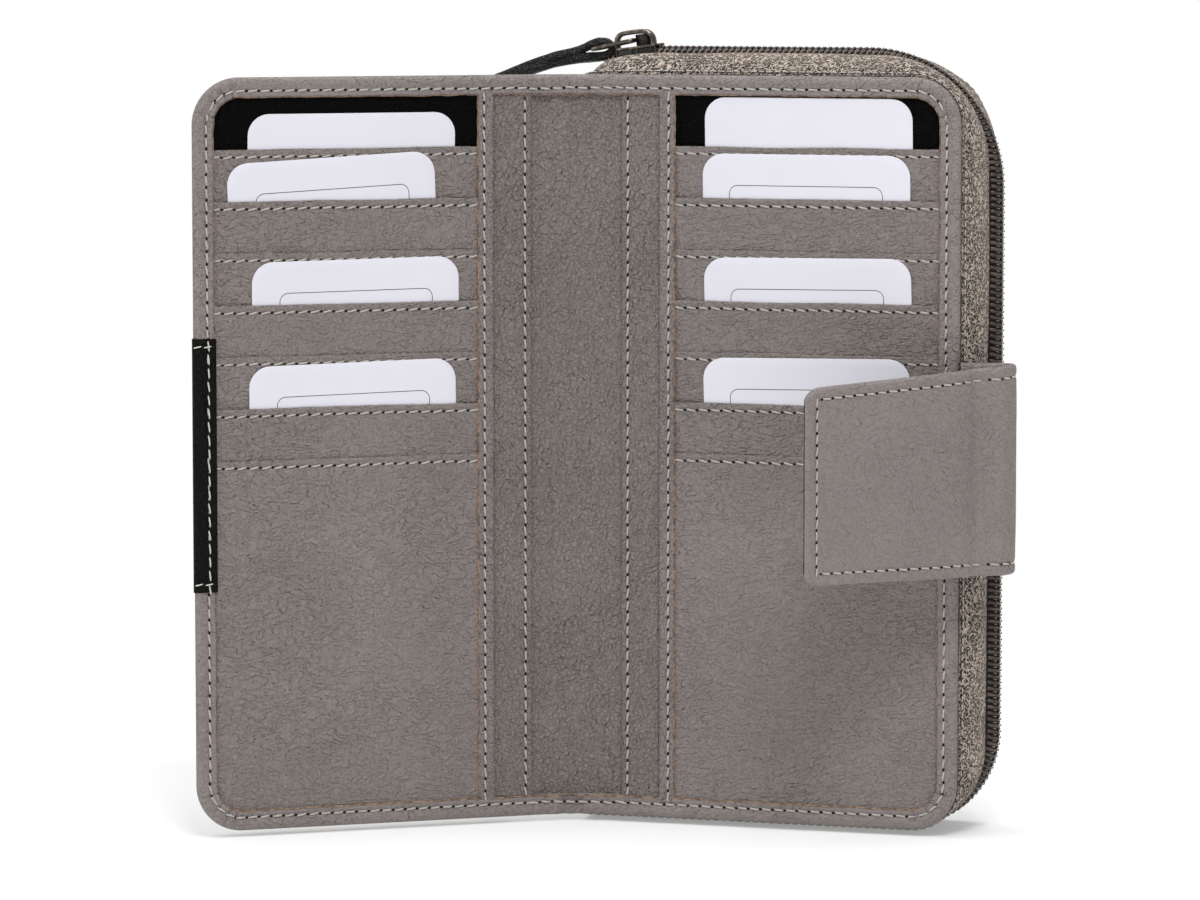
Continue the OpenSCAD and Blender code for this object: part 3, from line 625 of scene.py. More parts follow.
def pocket(place, body, node, k, seed):
    """A pocket's sheet with its turned top edge; the lowest one is large and swells."""
    u = np.linspace(23.4, 97.4, 90)
    free = k not in (0, 2, 4)  # no card stands before its hem
    gain = 1.0 if free else 0.35
    local = (lambda q: q + (0, LOW_V, 0)) if k == LOWEST else leaned
    rows = []
    for dz, dv in HEM if k < LOWEST else HEM[:13]:
        z = SLOTS[k] + dz + 0.16 * noise(u / 17, k, seed) * smooth(dz, -3, 0)
        z = z + 0.05 * noise(u / 1.7, k, seed + 1) * (dz > -2.5)
        v = STACK[k] + (dv * gain if dv < 0.2 and dz < 0 else dv)
        rows.append(xyz(u, v + 0.05 * noise(u / 9, dz / 5 + k, seed + 2) * (dz < -2.6) * (dv < 0.2), z))
    if k == LOWEST:
        top = SLOTS[k]
        for z in np.r_[top - 9, top - 12, np.linspace(top - 16, 3.2, 40)]:
            swell = 0.28 * smooth(z, 4, 30) * smooth(top - z, 6, 30) * smooth(u, 23.4, 42) * smooth(97 - u, 0, 16)
            wave = 0.14 * noise(u / 13, z / 15, seed + 4) + 0.06 * noise(u / 5 + z / 9, z / 4, seed + 5)
            rows.append(xyz(u, 0.03 - swell * 0.8 + wave * smooth(u, 24.4, 30), z))
        rows += [xyz(u, v, z) for v, z in ((0.4, 3.2), (0.4, top - 1.0), (0.38, top - 0.25))]
    P = np.array(rows)
    P[..., 2] = np.maximum(P[..., 2], CORNER - reach(P[..., 0], 92.2))
    bar(f"{node}_leather", P, lambda q: place(local(q)), "pocket", body, [node])
    # the stitches' path is taken to the half's frame first, so that the pitch holds
    x = np.linspace(26.5, 94.4, 60)
    path = local(xyz(x, STACK[k] + 0.04, SLOTS[k] - 1.9 + 0.1 * noise(x / 17, k, seed)))
    THREAD[body].run(path, INWARD, place, seed=seed + k, slant=0.2, r=0.23, lift=0.08 if free else 0.03)


def lining(side, place, body, node, seed):
    """The sheet behind the pockets, from z 160 up, cut to the cover's round corner."""
    u, z = np.meshgrid(np.linspace(23.4, 97, 70), np.linspace(160, 187.2, 34), indexing="ij")
    v = 4.79 + 0.06 * noise(u / 4, z / 4, seed)
    z = 160 + (z - 160) / 27.2 * (np.minimum(187.2, HIGH - CORNER + reach(u, 86)) - 160)
    sheet(f"{side}_black_lining", xyz(u, v, z), lambda q: place(leaned(q)), "inner", body, [node])


def upright(name, place, body, node, profile, mat, seed, z0, z1, wave=0.05, ride_over=0.0):
    """A strip from the bottom to the top, with small waves, that may ride over the pockets' ends."""
    z = np.linspace(z0, z1, 120)
    rows = []
    for u, v in profile:
        v = v + wave * noise(z / 3.2, u / 2.0, seed + 2) - ride_over * sum(bell(z, s - 0.6, 1.4) for s in SLOTS)
        rows.append(xyz(u + 0.07 * noise(z / 12, u, seed) + 0.03 * noise(z / 2, u, seed + 1), v, z))
    bar(name, rows, place, mat, body, [node])


# Sections of the note divider's band and of the strip over the pockets' ends, as u and v
BAND = [(22.3, 1.85), (22.3, 1.62), (21, 1.52), (19.4, 1.42), (17.6, 1.3), (15.8, 1.22), (14.5, 1.2), (13.8, 1.28),
        (13.3, 1.4), (12.8, 1.28), (12.25, 1.12), (11.8, 1.14), (11.58, 1.32), (11.52, 1.6), (11.6, 1.86),
        (12.1, 2.0), (16, 2.0)]
STRIP = [(25.72, 1.62), (25.7, 1.15), (25.62, 0.9), (25.3, 0.8), (24.8, 0.8), (24.5, 0.88), (24.2, 1.0),
         (23.9, 0.88), (23.3, 0.76), (22.6, 0.7), (22.05, 0.76), (21.76, 0.95), (21.7, 1.2), (21.78, 1.5), (22.2, 1.62)]

for side, place, body, prefix, seed in (("left", left, "front_half", "front", 31),
                                        ("right", right, "back_half", "back", 57)):
    for k in range(7):
        pocket(place, body, f"{prefix}_pocket_{k + 1}", k, seed + k)
    lining(side, place, body, f"{prefix}_lining", seed)
    upright(f"{side}_band", place, body, f"{prefix}_note_divider", BAND, "spine", seed, 3.6, 186.4)
    upright(f"{side}_strip", place, body, f"{prefix}_edge_strip", STRIP, "edge", seed + 9, 3.8, 186.2, 0.04, 0.16)
    z = np.linspace(5.0, 185.2, 160)
    raw_u = 25.76 + 0.1 * noise(z / 2.2, 1, seed) + 0.05 * noise(z / 0.8, 1, seed)
    lift = 0.16 * sum(bell(z, s - 0.6, 1.4) for s in SLOTS)
    raw_edge = [xyz(raw_u + du, v - lift, z) for du, v in ((-0.16, 0.84), (0.06, 0.94), (0.08, 1.6))]
    sheet(f"{side}_strip_raw_edge", raw_edge, place, "raw", body)
    THREAD[body].run(xyz(24.2, STITCH_V - lift, z), INWARD, place, seed=seed + 2)
    THREAD[body].run(xyz(13.3, 1.36, z), INWARD, place, seed=seed + 3, start=1.3)

# ---- spine


def spine_point(t, v):
    """Across the spine from the left half, t 0, to the right half, t 1, at a distance v behind the closing plane."""
    k = -math.tan(TURN / 2)
    a, b, c = (np.array(p) for p in (turned(-SPINE, v, TURN), (SPINE, v), (v * k, v)))
    t = np.asarray(t)[..., None]
    return (1 - t) ** 2 * a + 2 * t * (1 - t) * c + t * t * b


def spine_line(t, v):
    """x and y of points across the spine."""
    return np.array([spine_point(*pair) for pair in zip(*np.broadcast_arrays(t, v))]).T


def spine_sheet(name, profile, t, mat, seed, node):
    """Sweeps a profile of height, depth and wrinkling across the spine."""
    rows = []
    for z, v, w in profile:
        wave = noise(t * 11, z / 24, seed) + 0.5 * noise(t * 25, z / 11, seed + 1)
        wave = (wave + 0.9 * np.abs(noise(t * 8, z / 30, seed + 2))) * (w * 0.24)
        rows.append(xyz(*spine_line(t, v + wave * np.sin(math.pi * np.clip(t, 0, 1)) ** 0.5), z))
    o = sheet(name, rows, right, mat)
    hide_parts(node)
    across_spine(o)


inner = [(z, 1.72 + 0.25 * bell(z, 5, 4) + 0.25 * bell(z, 185, 4), 1 + 1.1 * bell(z, 7, 9) + 1.4 * bell(z, 182, 11))
         for z in np.linspace(3.4, 186.6, 90)]
spine_sheet("spine_inner_leather", inner, np.linspace(-0.06, 1.06, 46), "spine", 5, "spine_lining")
t = np.linspace(0, 1, 70)
ends = [(dz, v, 1.7 if dz < 4.8 else 0.7) for du, dz, v in BINDING[:19]]
outer = [(HIGH - dz, v, w) for dz, v, w in ends] + [(z, 2.62, 0.6) for z in np.linspace(188.5, 1.5, 60)] + ends[::-1]
spine_sheet("spine_outer_leather", outer, t, "leather", 9, "spine_cover")
for end, z0, s, seam in (("low", 5.0, 1, 3.4), ("high", 185.0, -1, 186.6)):
    jag = noise(t * 9, z0, 4) * 0.22 + noise(t * 25, z0, 8) * 0.08
    edge = [xyz(*spine_line(t, v), z0 + s * dz + jag) for dz, v in ((-0.08, 0.82), (0.16, 0.92), (0.2, 1.7))]
    across_spine(sheet(f"spine_raw_edge_{end}", edge, right, "raw"))
    path = xyz(*spine_line(t, STITCH_V), seam + 0.25 * noise(t * 7, z0, 3))
    THREAD["spine"].run(path, (0.29, -0.955, 0), right, seed=3)

# ---- cards


def card_outline(w, h, r):
    """A rectangle with round corners, from its low left corner."""
    pts = []
    for cx, cy, a0 in ((w - r, r, -90), (w - r, h - r, 0), (r, h - r, 90), (r, r, 180)):
        for k in range(10):
            a = math.radians(a0 + 10 * k)
            pts.append((cx + r * math.cos(a), cy + r * math.sin(a)))
    return np.array(pts)


def card(place, node, index, side_share, rise_share, lean):
    """A card in its pocket, with a printed frame on all but the rearmost."""
    k = CARD_SLOTS[index]
    w, h = 54.0, 85.6
    cu, cz = WIDE - side_share * WIDE - w / 2, SLOTS[k] + rise_share * h - h / 2

    def at(q):
        x, y, z = split3(q)
        x, z = turned(x - w / 2, z - h / 2, math.radians(lean))
        return place(leaned(xyz(cu + x, STACK[k] + 0.48 + y, cz + z)))

    rows = []
    for inset, y in ((2.0, 0.0), (0.12, 0.0), (0.03, 0.03), (0, 0.15), (0.03, 0.27), (0.12, 0.3), (2.0, 0.3)):
        o = card_outline(w - 2 * inset, h - 2 * inset, 5.5 - min(inset, 1.5)) + inset
        rows.append(xyz(o[:, 0], y, o[:, 1]))
    piece(f"{node}_body", at(rows), capped(*np.shape(rows)[:2]), "card", node, [node])
    if index == 0:
        return
    # a thin printed frame, plain and round at its corners
    x0, x1, z1 = 6.9, w - 7.1, h - 7.9
    rows = []
    for g in (0, 0.2):
        o = card_outline(x1 - x0 - 2 * g, 48 - 2 * g, 2.3 - g) + np.array([x0 + g, z1 - 48 + g])
        rows.append(xyz(o[:, 0], -0.012, o[:, 1]))
    piece(f"{node}_printed_frame", at(rows), quads(2, len(rows[0]), wrap_m=True), "print", node)


# A card's place: in from the side and up from the slot, as shares of the half and of the card, and its lean
CARDS = {"front": ((0.144, 0.102, 0), (0.109, 0.126, -3), (0.157, 0.129, -0.8), (0.151, 0.129, -1.2)),
         "back": ((0.125, 0.146, 0), (0.13, 0.132, 0), (0.122, 0.132, 0.6), (0.122, 0.14, 0.8))}
for i in range(4):
    for half, place in (("front", left), ("back", right)):
        card(place, f"{half}_card_{i + 1}", i, *CARDS[half][i])

# ---- zip band


def tube(path, section, closed=False, up=(0, 0, 1), taper=None):
    """Sweeps a section, a list of (side, up) offsets, along a path; vertices and faces."""
    path = np.asarray(path, float)
    n = len(path)
    t = np.roll(path, -1, 0) - np.roll(path, 1, 0) if closed else np.gradient(path, axis=0)
    t /= np.linalg.norm(t, axis=1)[:, None]
    pts = []
    for p, d, u, w in zip(path, t, np.broadcast_to(up, path.shape), np.ones(n) if taper is None else taper):
        side = np.cross(d, u)
        side /= np.linalg.norm(side)
        over = np.cross(side, d)
        pts += [p + side * a * w + over * b * w for a, b in section]
    m = len(section)
    return np.array(pts), quads(n, m, wrap_n=True, wrap_m=True) if closed else capped(n, m)


def oval(w, h, n=12, power=2.6):
    """A section between an ellipse and a box."""
    c, s = circle(n)
    return np.stack([np.sign(c) * np.abs(c) ** (2 / power) * w, np.sign(s) * np.abs(s) ** (2 / power) * h], -1)


def catmull(points, n, closed=False):
    """A smooth curve through the points, n steps between two."""
    p = np.asarray(points, float)
    if closed:
        p = np.r_[p[-1:], p, p[:2]]
    else:
        p = np.r_[2 * p[:1] - p[1:2], p, 2 * p[-1:] - p[-2:-1]]
    out = []
    for a, b, c, d in zip(p, p[1:], p[2:], p[3:]):
        for k in range(n):
            t = k / n
            out.append(0.5 * (2 * b + (c - a) * t + (2 * a - 5 * b + 4 * c - d) * t * t
                              + (3 * b - a - 3 * c + d) * t ** 3))
    if not closed:
        out.append(p[-2])
    return np.array(out)


ZLEG = np.r_[2.4, 2.9, 3.5, 4.3, 5.4, 6.8, 8.4, 10, 12, 14, 17, np.linspace(20.5, 83.5, 30)]


def share(v):
    """How much of its full height over the covers the band has at v."""
    x = np.clip((np.minimum(v, 2 * ZIP_V - v) - 2.65) / 7.25, 0, 1)
    return 1 - (1 - x) ** 2.6


# How far the band and the zip's middle stand out at the side, the top and the bottom, and their corners' radii
OUT, MIDDLE = (4.9, 5.3, 0.9, 28, 21), (7.2, 6.2, 0.7, 34, 25)
# How the band comes down to the covers towards the spine: u and the share of its height left
SLOPE = [1.8, 2.55, 3.2, 3.9, 5, 6.56, 9.9, 14.5, 20], [0, 0.08, 0.27, 0.43, 0.6, 0.71, 0.83, 0.94, 1]


def band_ring(v, g, seed=0, wob=0.0, form=OUT):
    """The band's outline at v, set in by g, which falls towards the spine at the top."""
    f = float(share(v))
    side, high, low, r1, r0 = form
    r1, r0 = CORNER + (r1 - CORNER) * f - g, CORNER + (r0 - CORNER) * f - g
    u, z = u_path(WIDE + side * f - g, g - low * f, HIGH + high * f - g, r0, r0, leg=ZLEG, arc=20, side=90,
                  top=(r1, r1)).T.copy()
    z -= high * f * (1 - np.interp(u, *SLOPE)) * (z > 150)
    if wob:
        n = noise((u + z) / 9, v / 4, seed) * wob
        z += np.where(z > 160, n, 0)
        u += np.where((z > 30) & (z < 160), n, 0)
    return xyz(u, float(v), z)


def zip_band(side, flip, body, seed):
    """One tape's woven band and the ribbon that runs from its edge under the chain, darkened with painted shade."""
    at = lambda v: 2 * ZIP_V - v if flip else v
    vs = [2.68, 2.9, 3.3, 3.8, 4.4, 5.1, 5.9, 6.8, 7.8, 8.9, 10, 11]
    rows = [(v, 0.0, 0.25) for v in vs] + [(11.6, 0.02, 0.2), (11.92, 0.14, 0.2), (12.05, 0.45, 0.2), (11.9, 0.8, 0.0),
                                           (11.4, 0.95, 0.0)]
    rows += [(v, 0.95, 0.0) for v in (10, 7.8, 5.9, 4.4, 3.3, 2.68)]
    bar(f"{side}_woven_band", [band_ring(at(v), g, seed, w) for v, g, w in rows], right, "woven", body,
        [f"{side}_zip_tape"])
    rows = ((11.2, 3.3), (11.9, 2.8), (12.6, 1.7), (13.4, 0.85), (14.2, 0.35), (14.76, 0.2), (14.78, 1.5), (12.8, 3.1))
    # the ribbon's dark colour is painted shade in the gap between the tape's edge and the coil
    bar(f"{side}_shaded_ribbon_band", [band_ring(at(v), g, form=MIDDLE) for v, g in rows], right, "ribbon", body)
    seam = band_ring(at(3.05), 0.0)
    out = seam - np.array([60.0, at(3.05), MID_Z])
    out[:, 1] = 14 if flip else -14
    out[:, 0] *= seam[:, 0] > 84
    out[:, 2] *= np.abs(seam[:, 2] - MID_Z) > 72
    n = nearest(seam, out, 2.1)
    THREAD[body].run(seam, n / np.linalg.norm(n, axis=1)[:, None], right, pitch=2.1, r=0.22, seed=77, slant=0.05,
                     lift=0.16)


zip_band("front", False, "back_half", 41)
zip_band("rear", True, "rear_shell", 43)

# Across the zip's middle and outwards
RIB = [(-3.05, -2.1), (-2.85, -1.35), (-2.2, -0.6), (-1.3, -0.05), (-0.4, 0.3), (0.25, 0.2)]
BEHIND, AHEAD = 6.6, 17.6  # the slider's two ends on the chain


def chain(side, flip, body):
    """The coil of one tape: bent ribs across the chain, tied down by two rows of pale thread; none in the slider."""
    across = np.array([0, -1 if flip else 1, 0.0])
    ribs, ties = [], []
    path = band_ring(ZIP_V, 0, form=MIDDLE)
    for run in (path[(path[:, 0] > AHEAD) | (path[:, 2] < MID_Z)], path[(path[:, 0] < BEHIND) & (path[:, 2] > MID_Z)]):
        for p, t in zip(*along(run[::-1], 1.57, 1.08 if flip else 0.3)):
            n = np.array([-t[2], 0, t[0]])
            n = n if n @ (p - np.array([50, ZIP_V, MID_Z])) > 0 else -n
            c = [p + across * a + n * b + t * a * 0.2 for a, b in RIB]
            q, f = tube(catmull(c, 2), oval(0.42, 0.52, 6, 2), up=t)
            ribs.append((right(q), f))
            for a, b in ((-2.15, -0.12), (-0.7, 0.62)):
                tie = p + t * (0.785 + 0.2 * a) + across * a + n * b
                d = across * 0.95 + n * 0.45 * (a < -1) + t * 0.3
                q, f = capsule(tie, d / np.linalg.norm(d), n, 1.15, 0.17, sink=0.2)
                ties.append((right(q), f))
    piece(f"{side}_coil", *join_parts(ribs), "chain", body, [f"{side}_zip_teeth"])
    piece(f"{side}_coil_ties", *join_parts(ties), "tie", body)


chain("front", False, "back_half")
chain("rear", True, "rear_shell")

# ---- zip compartment


def wall(seed):
    """The compartment's leather wall along the spine, its rows closer together at the zip's middle."""
    rows = []
    for v in np.r_[np.linspace(2.66, 13.2, 12), 14.0, ZIP_V, 15.8, np.linspace(16.6, 27.1, 12)]:
        f = float(share(v))
        z = np.linspace(-OUT[2] * f + 0.1, HIGH + OUT[1] * f * 0.08 - 0.1, 60)
        rows.append(xyz(1.2 - 0.25 * math.sin(math.pi * (v - 2.66) / 24.4) + 0.12 * noise(z / 14, v / 5, seed), v, z))
    n = len(rows)
    P = np.concatenate([rows, np.array(rows[::-1]) + (1.1, 0, 0)])
    faces = quads(2 * n, 60, wrap_n=True)
    for j in (0, 59):
        faces += [[i * 60 + j, (i + 1) * 60 + j, (2 * n - 2 - i) * 60 + j, (2 * n - 1 - i) * 60 + j]
                  for i in range(n - 1)]
    o = piece("spine_side_wall_leather", right(P), faces, "leather", None, ["front_spine_wall", "rear_spine_wall"],
              uv=arc_uv(P))
    right((1.8, 13.3, 95))
    right((1.8, 16.5, 95))
    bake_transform(o)


wall(61)

# Inset all round and distance from the closing plane
REAR = [(4.2, 27.2), (1.2, 27.17), (0.35, 27.25), (0.05, 27.5), (0, 27.75), (0.08, 28.02), (0.35, 28.24), (0.9, 28.36),
        (1.8, 28.38), (2.7, 28.3), (3.2, 28.16), (3.5, 28.06), (3.8, 28.16), (4.4, 28.32), (6, 28.4)]
REAR += [(d, 28.42) for d in (9, 14, 22, 34, 50, 70, 88, 94.5)]
rows = []
for d, v in REAR:
    u, z = rim(d, d, np.r_[1.2, 1.7, 2.6, 3.6, 4.3, 4.8, 6, 9, np.linspace(12, WIDE - CORNER, 34)])
    dip = 0.28 * bell(u, 4.3, 0.5) * (d > 4) + 0.4 * (1 - smooth(u, 1.2, 2.6)) * (v > 28)
    rows.append(xyz(u, v - dip + 0.05 * noise(u / 8, z / 8, 71) * (d > 6) + 0.03 * noise((u + z) / 2, d, 72), z))
sheet("rear_cover_leather", rows, right, "leather", "rear_shell", ["rear_cover"])
u, z = rim(3.5, 3.5, np.linspace(4.3, WIDE - CORNER, 30))
THREAD["rear_shell"].run(xyz(np.r_[u, 4.3, 4.3], 28.1, np.r_[z, MID_Z, 3.5]), OUTWARD, right, seed=73)


def slab(name, u0, u1, z0, z1, v, t, wave, body, node, seed, r=6.0, lift=None):
    """A soft sheet of cloth with rounded corners and gentle waves."""
    a, b = np.meshgrid(np.linspace(0, 1, 34), np.linspace(0, 1, 46), indexing="ij")
    u = u0 + (u1 - u0) * a
    e = np.maximum(0, np.maximum(u0 + r - u, u - (u1 - r)))
    cut = r - np.sqrt(np.maximum(r * r - e * e, 0))
    z = z0 + cut + (z1 - z0 - 2 * cut) * b
    vv = v + wave * noise(u / 11, z / 13, seed) + (lift(u, z) if lift else 0)
    n, m = a.shape
    P = np.concatenate([xyz(u, vv, z), xyz(u, vv + t, z)])
    f = quads(n, m)
    faces = f + [[i + n * m for i in q[::-1]] for q in f]
    edge = [i * m for i in range(n)] + [(n - 1) * m + j for j in range(1, m)] + \
           [i * m + m - 1 for i in range(n - 2, -1, -1)] + [j for j in range(m - 2, 0, -1)]
    for i, k in zip(edge, edge[1:] + edge[:1]):
        faces.append([i, k, k + n * m, i + n * m])
    return piece(name, right(P), faces, "lining", body, [node])


cloth_piece = slab("rear_lining_cloth", 2.7, 98.9, 1.1, 188.9, 26.5, 0.5, 0.06, "rear_shell", "rear_lining", 81, r=10.9)
cloth_piece = slab("coin_pocket_cloth", 18, 87, 24, 120, 8.75, 0.55, 0.05, "back_half", "coin_pocket", 83,
                   lift=lambda u, z: 0.25 * np.sin(math.pi * (u - 18) / 69) * smooth(z, 24, 60))
THREAD["back_half"].run([(19.5, 9.36, 117.8), (85.5, 9.36, 117.8)], OUTWARD, right, seed=84, lift=0.2)


def gusset(name, z_edge, sign, node, seed):
    """A cloth strip folded inwards between the middle wall and the rear cover."""
    v0, v1, deep = 8.5, 26.4, 8
    u, v = np.meshgrid(np.linspace(12, 50, 24), np.linspace(v0, v1, 25), indexing="ij")
    fold = deep * (1 - np.abs(2 * (v - v0) / (v1 - v0) - 1)) ** 0.9
    top = xyz(u, v, z_edge - sign * (fold + 0.3 * noise(u / 6, v / 3, seed)))
    low = top - np.array([0, 0, 0.5 * sign])
    P = np.concatenate([top, low[:, ::-1]], 1)
    o = sheet(name, P, right, "lining", None, [node], wrap=True, cap=True)
    right((30, 9.5, 95))
    right((30, 25.5, 95))
    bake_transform(o)


gusset("top_gusset_cloth", 177.2, 1, "top_gusset", 91)
gusset("bottom_gusset_cloth", 12.8, -1, "bottom_gusset", 93)

# ---- slider and pull


def plate(outline, z0, z1, edge):
    """A plate with rounded edges from an outline and two heights."""
    o = np.asarray(outline, float)
    c = o.mean(0)
    rows = []
    for k, z in ((1 - edge * 0.28, z0), (1 - edge * 0.08, z0 + edge * 0.25), (1, z0 + edge),
                 (1, z1 - edge), (1 - edge * 0.08, z1 - edge * 0.25), (1 - edge * 0.28, z1)):
        q = c + (o - c) * k
        rows.append(xyz(q[:, 0], q[:, 1], z))
    return np.concatenate(rows), capped(len(rows), len(o))


def box(x0, x1, y0, y1, z0, z1, edge=0.08):
    return plate([(x0, y0), (x1, y0), (x1, y1), (x0, y1)], z0, z1, edge)


def on_zip(p):
    """From the slider's own frame, tilted as it sits where the zip falls towards the spine."""
    x, y, z = split3(p)
    x, z = turned(x, z, math.radians(7))
    return right(xyz(12 + x, ZIP_V + y, 196.75 + z))


def mirrored(half, far, near=()):
    """A closed outline from the points on one side of the x axis and those on it."""
    return [*near, *half, far, *((x, -y, *z) for x, y, *z in half[::-1])]


def slider():
    """Top plate, a dark body between bright posts and rails, its darkness painted shade in the slider's hollow, and a
    bridge that holds the ring.
    """
    half = [(-5.5, -2.6), (-4.4, -3.3), (-2.2, -3.75), (1.8, -3.8), (4.0, -3.6), (5.3, -3.3)]
    wide = catmull(mirrored(half, (5.5, 0)) + [(-5.7, 0)], 4, True)
    parts = [plate(wide, -0.52, 0.05, 0.12), plate(wide * (0.99, 0.97), -2.95, -2.6, 0.08)]
    for x, y in ((-5.2, 2.85), (-1.05, 3.78), (0.6, 3.78), (5.25, 3.32)):
        parts += [box(x - 0.17, x + 0.17, y0, y0 + 0.3, -2.7, -0.4) for y0 in (-y, y - 0.3)]
    parts.append(box(5.3, 6.6, -1.2, 1.2, -1.0, 0.15, 0.2))
    arch = catmull([(-5.35, 0, -0.2), (-5.5, 0, 1.6), (-4.9, 0, 2.95), (-3.4, 0, 3.65), (0.8, 0, 3.72), (2.9, 0, 3.35),
                    (4.05, 0, 2.0), (4.2, 0, -0.2)], 8)
    parts.append(tube(arch, oval(0.6, 1.4, 14, 3.4), up=(0, 1, 0)))
    P, F = join_parts(parts)
    piece("slider_body", on_zip(P), F, "gunmetal", "slider", ["zip_slider"])
    # a dark block between the plates and under the bridge, painted shade in the slider's hollow
    P, F = join_parts([plate(wide * (0.93, 0.9), -2.7, -0.45, 0.1), box(-0.3, 3.3, -0.5, 0.9, 0, 3.0, 0.2)])
    piece("slider_core", on_zip(P), F, "slider_hollow_shade", "slider")


slider()

EYE = (10.9, ZIP_V, 198.3)  # the ring's near bar
DROP = math.radians(12.5)  # how far the ring hangs down at rest


def pull_frame(p):
    """From the ring's near bar: x away from it along the pull, y across, z up."""
    x, y, z = split3(p)
    x, z = turned(-x, z, DROP)
    return xyz(EYE[0] + x, EYE[1] + y, EYE[2] + z)


half = [(0.1, 1.9, 0), (0.9, 2.6, 0), (5.4, 2.6, 0), (9.9, 2.6, 0), (10.7, 1.9, 0)]
P, F = tube(catmull(mirrored(half, (10.8, 0, 0), [(0.0, 0, 0)]), 6, True), oval(0.62, 0.55), closed=True)
piece("pull_ring_wire", right(pull_frame(P)), F, "gunmetal", "ring", ["pull_ring"])

# The lace's middle line seen from the front: out along its lower strand, round the ring's far bar and back above
LACE = [(-38.5, 180.4), (-32, 184.0), (-25.9, 186.8), (-22.6, 188.3), (-16.2, 190.7), (-10.7, 192.3), (-5.2, 193.4),
        (-1.1, 193.8), (2.2, 194.1), (4.4, 194.8), (5.2, 196.0), (4.4, 197.2), (2.5, 197.8), (0.3, 197.4),
        (-2.2, 196.3), (-4.9, 195.2), (-9.9, 193.9), (-15.4, 192.2), (-22.0, 189.6), (-25.9, 188.1), (-31, 185.6),
        (-36.4, 182.2)]


def lace():
    """The pull: a flat cord with uneven edges, narrower where it rounds the ring."""
    line = [(u, ZIP_V + 0.35 * math.sin(k * 1.1) * (k < 6 or k > 15), z) for k, (u, z) in enumerate(LACE)]
    c = catmull(line, 8)
    n = len(c)
    wide = np.interp(np.arange(n), [0, 10, 52, 64, 112, 124, n - 12, n - 1], [0.6, 1, 1, 0.86, 0.86, 1, 1, 0.55])
    wide *= 1 + 0.06 * noise(np.arange(n) / 4.0, 1, 5)
    up = np.array([0.0, 1.0, 0.0]) + 0.25 * noise(np.arange(n) / 14.0, 2, 6)[:, None] * np.array([0, 0, 1.0])
    P, F = tube(c, oval(1.32, 1.55, 16, 3), up=up, taper=wide)
    piece("pull_lace", right(P), F, "lace", "thong", ["pull_thong"])


lace()

# ---- closing tab

BEND = np.array([110.8557, 3.9950])  # the tab's fold in the half's plan
TAB_D = np.array([-math.cos(math.radians(44.5)), -math.sin(math.radians(44.5))])  # along the flap to its tip
TAB_N = np.array([-TAB_D[1], TAB_D[0]])
root = [(100.3, 1.42), (102.5, 1.9), (105.5, 2.75), (109, 3.7), (111.6, 4.0), (113.0, 3.1), (113.3, 1.4), (112.7, -0.6),
        (111.3, -2.6)]
flap = [BEND + TAB_D * s + TAB_N * o for s, o in ((9.6, 2.4), (14, 3.0), (20, 3.1), (28, 2.5), (38, 1.4), (48, 0.5),
                                                  (57.4, 0.0))]
line = catmull(np.r_[root, flap], 12)
run = np.r_[0, np.cumsum(np.linalg.norm(np.diff(line, axis=0), axis=1))]
total = run[-1]
bend_at = run[int(np.argmin(np.abs(line[:, 1] - 2.3) + np.abs(line[:, 0] - 113.2)))]
TIP = BEND + TAB_D * 10, BEND + TAB_D * 20  # two points along the flap, 10 and 20 mm from its fold


def across_tip(o):
    (a, b), (c, d) = TIP
    right((a, b, 92))
    right((c, d, 92))
    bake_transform(o)


def tab_point(s):
    """The tab's middle line at a run s, in the half's plan."""
    return np.array([np.interp(s, run, line[:, k]) for k in range(2)])


def tab_normal(s):
    """Outwards, away from the cover."""
    x, y = tab_point(min(s + 0.3, total)) - tab_point(max(s - 0.3, 0))
    return np.array([y, -x]) / math.hypot(x, y)


def tab_edges(s):
    """The heights of the tab's two edges, which round off at the tip."""
    f = np.clip((s - bend_at) / (total - bend_at), 0, 1)
    lo_z, hi_z = 66 - 0.32 * f, 66 + 52.8 - (52.8 - 48.9 + 0.32) * f
    e = np.maximum(0, 4 - (total - s))
    r_low = 4 - np.sqrt(np.maximum(16 - e * e, 0))
    return lo_z + r_low * 0.75, hi_z - r_low


# Distances from the tab's edge, denser at its stitched rim
ACROSS = np.r_[0, 0.04, 0.25, 0.7, 1.3, 2.0, 2.6, 3.0, 3.4, 4.2, 5.6, 8]


def tab_half(s, front):
    """One face of the tab at a run s: heights and offsets from its middle line, from the low edge to the high one."""
    lo_z, hi_z = tab_edges(s)
    mid = np.linspace(8, hi_z - lo_z - 8, 12)[1:-1]
    d = np.r_[ACROSS, mid, (hi_z - lo_z) - ACROSS[::-1]]
    near = np.minimum(d, hi_z - lo_z - d)
    near = np.minimum(near, np.maximum(total - s, 0) + 0.02)
    h = 1.05 * np.clip(1 - (1 - np.clip(near / 1.1, 0, 1)) ** 2, 0, 1) ** 0.5
    h = h - 0.26 * bell(near, 3.0, 0.45) + 0.1 * smooth(near, 4, 12)
    h = h + 0.03 * noise(s / 1.7, d / 2.5, 5 if front else 6) * (near > 0.3) + 0.06 * noise(s / 9, d / 9, 8)
    return lo_z + d, h if front else -h


def tab_grid(runs):
    """Rings round the tab: its one face and back along the other."""
    rows = []
    for s in runs:
        (zf, hf), (zb, hb) = tab_half(s, True), tab_half(s, False)
        z, h = np.r_[zf, zb[-2:0:-1]], np.r_[hf, hb[-2:0:-1]]
        (x, y), (nx, ny) = tab_point(s), tab_normal(s)
        rows.append(xyz(x - nx * h, y - ny * h, z))
    return rows


